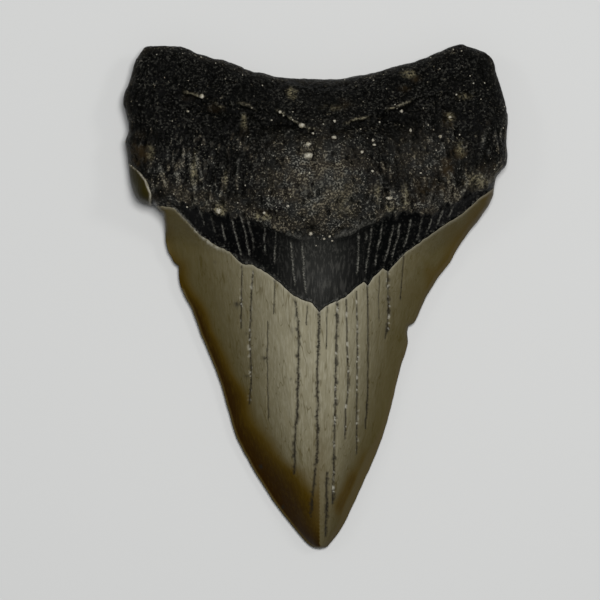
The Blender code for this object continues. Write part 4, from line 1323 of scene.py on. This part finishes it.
# Painted highlight on the neck's wrinkle crests and crumbs, and its glint at the enamel's lip.
CREST_HIGHLIGHT = colour(0.125, 0.121, 0.102)
NECK_GREY = colour(0.015, 0.015, 0.0135)
NECK_THREAD = colour(0.034, 0.033, 0.029)
BONE_SHINE = 0.03


def new_material(name, specular):
    """A material, its nodes and its shader."""
    material = bpy.data.materials.new(name)
    material.use_nodes = True
    nodes = Nodes(material.node_tree)
    shader = material.node_tree.nodes["Principled BSDF"]
    shader.inputs["Specular IOR Level"].default_value = specular
    return material, nodes, shader


def dress(nodes, shader, base, roughness, rise, strength, depth):
    """Give a shader its colour, its roughness and a bump with a depth in millimetres."""
    bump = nodes.add("Bump", {"Strength": strength, "Distance": depth * MM, "Height": rise})
    for name, value in (("Base Color", base), ("Roughness", roughness), ("Normal", bump.outputs[0])):
        nodes.feed(shader.inputs[name], value)


def bone_material():
    material, nodes, shader = new_material("black bone", BONE_SHINE)
    pale, brown, cream = nodes.share("pale"), nodes.share("brown"), nodes.share("cream")
    dark, on_neck, grey = nodes.share("dark"), nodes.share("neck"), nodes.share("grey_neck")
    pepper = speckle(nodes, 0.62, Coverage=0.40, Softness=0.03, Detail=3.0)
    more = nodes.between(pale, 0.0, 0.5, 0.22, 0.44)
    salt = speckle(nodes, 0.50, Coverage=more, Softness=0.03)
    cloud = speckle(nodes, 5.0, Softness=0.2)
    warm = speckle(nodes, 3.2, Coverage=0.52, Softness=0.12)
    thread = speckle(nodes, 0.50, Stretch=9.0, Coverage=0.4)

    patchy = nodes.between(cloud["Height"], 0.32, 0.62, 0.35, 1.0)
    # Worn bone and painted highlights go pale.
    worn_and_highlight = nodes.between(salt["Height"], 0.40, 0.60, 0.1, 0.9)
    worn_and_highlight = nodes.times(nodes.between(pale, 0.42, 1.0), worn_and_highlight)
    rusty = nodes.times(brown, nodes.between(cloud["Height"], 0.3, 0.6))
    limed = nodes.times(cream, nodes.between(salt["Height"], 0.42, 0.56, 0.05, 1.0))
    bone = nodes.paint(BONE_BLACK, [
        (nodes.times(pepper["Mask"], patchy), BONE_GREY),
        (nodes.between(pale, 0.0, 0.5, 0.0, 0.8), nodes.mix(warm["Mask"], NECK_GREY, WARM_GREY)),
        # Pale specks: grains, and painted glints of the glossy bone.
        (nodes.times(salt["Mask"], patchy), nodes.mix(warm["Mask"], BONE_SPECK_AND_GLINT, WARM_SPECK)),
        (worn_and_highlight, BONE_PALE), (rusty, BONE_BROWN), (limed, LIME_CREAM),
    ])
    # Painted highlights and glints on the neck.
    crest = nodes.times(pale, nodes.between(salt["Height"], 0.42, 0.60, 0.20, 1.0))
    smooth = nodes.paint(NECK_BLACK, [
        (grey, NECK_GREY), (nodes.times(thread["Mask"], grey), NECK_THREAD), (crest, CREST_HIGHLIGHT),
    ])
    # Painted shade: the pits, lobes, pores and hollows under the lips go black.
    base = nodes.paint(bone, [(on_neck, smooth), (nodes.times(dark, 0.85), BONE_BLACK)])

    rough_bone = nodes.between(salt["Height"], 0.3, 0.7, 0.26, 0.44)
    rough_neck = nodes.between(thread["Height"], 0.3, 0.7, 0.24, 0.40)
    roughness = nodes.add("Mix", {0: on_neck, 2: rough_bone, 3: rough_neck}).outputs[0]
    rise = nodes.math("ADD", pepper["Height"], nodes.times(salt["Height"], 0.6))
    calm = nodes.math("SUBTRACT", 1.0, nodes.times(on_neck, 0.93))
    dress(nodes, shader, base, roughness, nodes.times(rise, calm), 1.0, 0.4)
    return material


tooth.data.materials.append(bone_material())
print("material", tooth.data.materials[0].name)

# %% [markdown]
# ## Enamel
#
# The enamel is a greyed olive with fine lines along its length. Some of them are hairlines,
# where noise drawn out lengthwise crosses its middle value. It darkens towards its sides
# and its tip, partly ochre and partly painted shade, and inside the left edge it is stained
# gold and brown. Its edges, the ridge near the tip and the flake's rim get painted
# highlights. Dark dust with paler crumbs fills the cracks, chips show the bright inside,
# and painted glints run along the enamel's lip.

# %% Enamel material
ENAMEL_GREY = colour(0.187, 0.170, 0.114)
# Ochre of the flanks, the tip and the hairlines; on the flanks and tip it also paints their shade.
ENAMEL_OCHRE_AND_SHADE = colour(0.038, 0.0275, 0.0035)
ENAMEL_LIGHT = colour(0.270, 0.252, 0.188)
ENAMEL_DARK = colour(0.095, 0.085, 0.055)
ENAMEL_OLIVE = colour(0.012, 0.0095, 0.0005)
STAIN_GOLD = colour(0.0460, 0.0275, 0.0015)
STAIN_BROWN = colour(0.0145, 0.0058, 0.0)
# Painted highlight on the crown's edges, the flake's rim and the ridge near the tip.
ENAMEL_HIGHLIGHT = colour(0.062, 0.047, 0.022)
# Bright chips, and painted glints on the enamel's lip and rims.
CHIP_AND_GLINT = colour(0.30, 0.285, 0.235)
CRACK_DUST = colour(0.011, 0.0095, 0.0070)
ENAMEL_SHINE = 0.03


def enamel_material():
    material, nodes, shader = new_material("stained enamel", ENAMEL_SHINE)
    pale, brown, dark = nodes.share("pale"), nodes.share("brown"), nodes.share("dark")
    shade, fleck, olive = nodes.share("shade"), nodes.share("fleck"), nodes.share("cream")
    line = speckle(nodes, 0.45, Stretch=40.0, Coverage=0.45)
    wide = speckle(nodes, 2.2, Stretch=9.0, Softness=0.22)
    mottle = speckle(nodes, 0.9, Stretch=2.0, Softness=0.2, Detail=4.0)
    hair = speckle(nodes, 1.6, Stretch=30.0, Detail=1.0)

    off_middle = nodes.math("ABSOLUTE", nodes.math("SUBTRACT", hair["Height"], 0.5))
    hairline = nodes.between(off_middle, 0.004, 0.022, 0.50, 0.0)
    hairline = nodes.times(hairline, nodes.between(wide["Height"], 0.40, 0.56, 0.15, 1.0))
    stain = nodes.times(brown, nodes.between(line["Height"], 0.2, 0.6, 0.8, 1.0))
    filled = nodes.times(dark, nodes.between(mottle["Height"], 0.30, 0.52, 0.45, 0.95))
    # Over the grey and its lines go painted shade on the flanks and tip, stains, painted highlights on
    # the edges, dust in the cracks, and chips with painted glints.
    base = nodes.paint(ENAMEL_GREY, [
        (nodes.times(wide["Mask"], 0.35), ENAMEL_DARK), (nodes.times(line["Mask"], 0.38), ENAMEL_LIGHT),
        (nodes.times(mottle["Mask"], 0.12), ENAMEL_DARK), (hairline, ENAMEL_OCHRE_AND_SHADE), (shade, ENAMEL_OCHRE_AND_SHADE),
        (nodes.times(olive, 0.9), ENAMEL_OLIVE), (nodes.between(stain, 0.0, 0.6), STAIN_GOLD),
        (nodes.between(stain, 0.35, 1.0), STAIN_BROWN), (nodes.times(pale, 0.8), ENAMEL_HIGHLIGHT),
        (filled, CRACK_DUST), (nodes.times(fleck, 0.9), CHIP_AND_GLINT),
    ])
    roughness = nodes.between(mottle["Height"], 0.3, 0.7, 0.36, 0.50)
    rise = nodes.math("ADD", nodes.times(mottle["Height"], 0.5), line["Height"])
    dress(nodes, shader, base, roughness, rise, 0.35, 0.15)
    return material


tooth.data.materials.append(enamel_material())
print("material", tooth.data.materials[1].name)

# %% [markdown]
# ## Grains of sand
#
# The tooth lay in sediment, and some pale grains are still stuck in its pits. Each is a
# small ball pushed out of round, half sunk into the skin. A few larger ones are listed one
# by one, and fine ones are scattered over the bone. They are joined into one mesh.

# %% Stuck grains
PLACED_GRAINS = [
    (-2.0, 36.0, 0.55), (-2.0, 33.1, 0.95), (-1.6, 29.0, 0.35), (-1.1, 14.9, 0.62), (2.0, 13.7, 0.30),
    (3.2, 14.4, 0.28), (17.2, 23.3, 0.70), (-22.9, 20.2, 0.75), (-27.0, 47.8, 0.50), (-8.3, 43.7, 0.40),
    (-3.2, 40.6, 0.65), (20.3, 44.2, 0.60), (22.4, 39.4, 0.42), (15.2, 41.3, 0.30), (4.4, 37.4, 0.60),
    (4.4, 41.5, 0.35), (13.6, 37.0, 0.36), (13.9, 36.0, 0.40), (10.9, 34.1, 0.34), (13.3, 29.5, 0.26),
    (24.8, 29.3, 0.26), (29.6, 38.2, 0.45), (32.0, 42.7, 0.40), (-30.4, 44.2, 0.36), (-30.4, 21.4, 0.22),
    (-6.4, 21.4, 0.30), (-5.9, 23.5, 0.28), (0.1, 12.2, 0.22), (-12.1, 19.9, 0.34), (33.5, 48.2, 0.32),
    (-10.4, 41.8, 0.30), (-7.6, 43.0, 0.24), (-5.4, 41.8, 0.24), (-0.6, 38.6, 0.30), (4.0, 13.2, 0.22),
]
FINE_GRAIN_COUNT = 120
FINE_GRAIN_SIZES = (0.09, 0.18)
GRAIN_DETAIL = 2
SUNK_SHARE = 0.35
GRAIN_SHAPES = (0.60, 1.20)
GRAIN_BULGE = 0.55
SAND_PALE = colour(0.20, 0.18, 0.13)
SAND_BROWN = colour(0.10, 0.085, 0.045)
SAND_WHITE = colour(0.30, 0.28, 0.23)
SAND_SHINE = 0.35


def pebble(centre, size, normal, seed):
    """Points and faces of one uneven grain, sunk a little into the skin."""
    bm = bmesh.new()
    bmesh.ops.create_icosphere(bm, subdivisions=GRAIN_DETAIL, radius=1.0)
    ball = np.array([tuple(v.co) for v in bm.verts])
    faces = np.array([[v.index for v in f.verts] for f in bm.faces])
    bm.free()
    draw = np.random.default_rng(seed)
    shape = draw.uniform(*GRAIN_SHAPES, 3)
    bulge = 1 + GRAIN_BULGE * noise_at(ball, 0.7, seed)
    middle = centre + normal * size * (1 - SUNK_SHARE) * 0.5
    return middle + ball * shape * bulge[:, None] * size, faces


def make_grains():
    """All grains in one mesh."""
    top_tree = tree_of(moved[:first_low, :2])
    grains = []
    for px, py, size in PLACED_GRAINS:
        i = top_tree.find((px, py, 0))[1]
        grains.append((moved[i], size, normals[i]))
    draw = np.random.default_rng(23)
    chance = coarse * ~is_low
    for i in draw.choice(len(points), size=FINE_GRAIN_COUNT, p=chance / chance.sum(), replace=False):
        grains.append((moved[i], draw.uniform(*FINE_GRAIN_SIZES), normals[i]))
    places, faces, first = [], [], 0
    for k, (centre, size, normal) in enumerate(grains):
        ball, sides = pebble(centre, size, normal, 100 + k)
        places.append(ball)
        faces.append(sides + first)
        first += len(ball)
    return make_mesh("sand_grains", np.vstack(places), np.vstack(faces))


def sand_material():
    material, nodes, shader = new_material("sand", SAND_SHINE)
    fleck = speckle(nodes, 0.35, Softness=0.15, Detail=3.0)
    kind = speckle(nodes, 6.0)
    base = nodes.paint(SAND_PALE, [(kind["Mask"], SAND_BROWN), (fleck["Mask"], SAND_WHITE)])
    roughness = nodes.between(fleck["Height"], 0.3, 0.7, 0.3, 0.6)
    dress(nodes, shader, base, roughness, fleck["Height"], 0.5, 0.1)
    return material


sand = make_grains()
sand.data.materials.append(sand_material())
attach(sand, "root")
print("sand grains:", len(sand.data.polygons), "faces")

# %% [markdown]
# ## Floor and light
#
# A specimen is lit softly, so its relief reads without hard shadows. A soft lamp nearly
# overhead does most of the work, from a little beyond the root, and two weak ones fill in
# from the right and the left. A pale sheet lies under the tooth. The plain view transform
# keeps the colours as mixed.

# %% Stage
FLOOR_SIZE = 3000.0
FLOOR_COLOUR = colour(0.46, 0.46, 0.452)
LAMPS = [
    ("top", (60, 110, 900), 200, 9.0), ("right fill", (520, 260, 700), 160, 0.8),
    ("left fill", (-560, 200, 680), 160, 0.4),
]
SKY = colour(0.9, 0.95, 1.0)
SKY_STRENGTH = 0.22
FLOOR_SHINE = 0.2
FLOOR_ROUGHNESS = 0.7


def make_lamp(name, place, size, power):
    """A square soft lamp in millimetres and watts, turned towards the tooth."""
    lamp = bpy.data.lights.new(name, "AREA")
    lamp.size = size * MM
    lamp.energy = power
    made = bpy.data.objects.new(name, lamp)
    made.location = Vector(place) * MM
    made.rotation_euler = (-made.location).to_track_quat("-Z", "Y").to_euler()
    bpy.context.scene.collection.objects.link(made)


def make_floor():
    half = FLOOR_SIZE / 2
    corners = np.array([(-half, -half, 0), (half, -half, 0), (half, half, 0), (-half, half, 0)])
    floor = make_mesh("floor", corners, np.array([[0, 1, 2, 3]]))
    material, _, shader = new_material("pale sheet", FLOOR_SHINE)
    shader.inputs["Base Color"].default_value = FLOOR_COLOUR
    shader.inputs["Roughness"].default_value = FLOOR_ROUGHNESS
    floor.data.materials.append(material)
    return floor


def make_sky():
    """An even pale light from everywhere."""
    world = bpy.data.worlds.new("studio")
    world.use_nodes = True
    background = world.node_tree.nodes["Background"]
    background.inputs["Color"].default_value = SKY
    background.inputs["Strength"].default_value = SKY_STRENGTH
    bpy.context.scene.world = world


for lamp in LAMPS:
    make_lamp(*lamp)
make_floor()
make_sky()
bpy.context.scene.view_settings.view_transform = "Standard"
print("lamps:", len(LAMPS))

# %% [markdown]
# ## The end

# %% The end
bpy.context.view_layer.update()
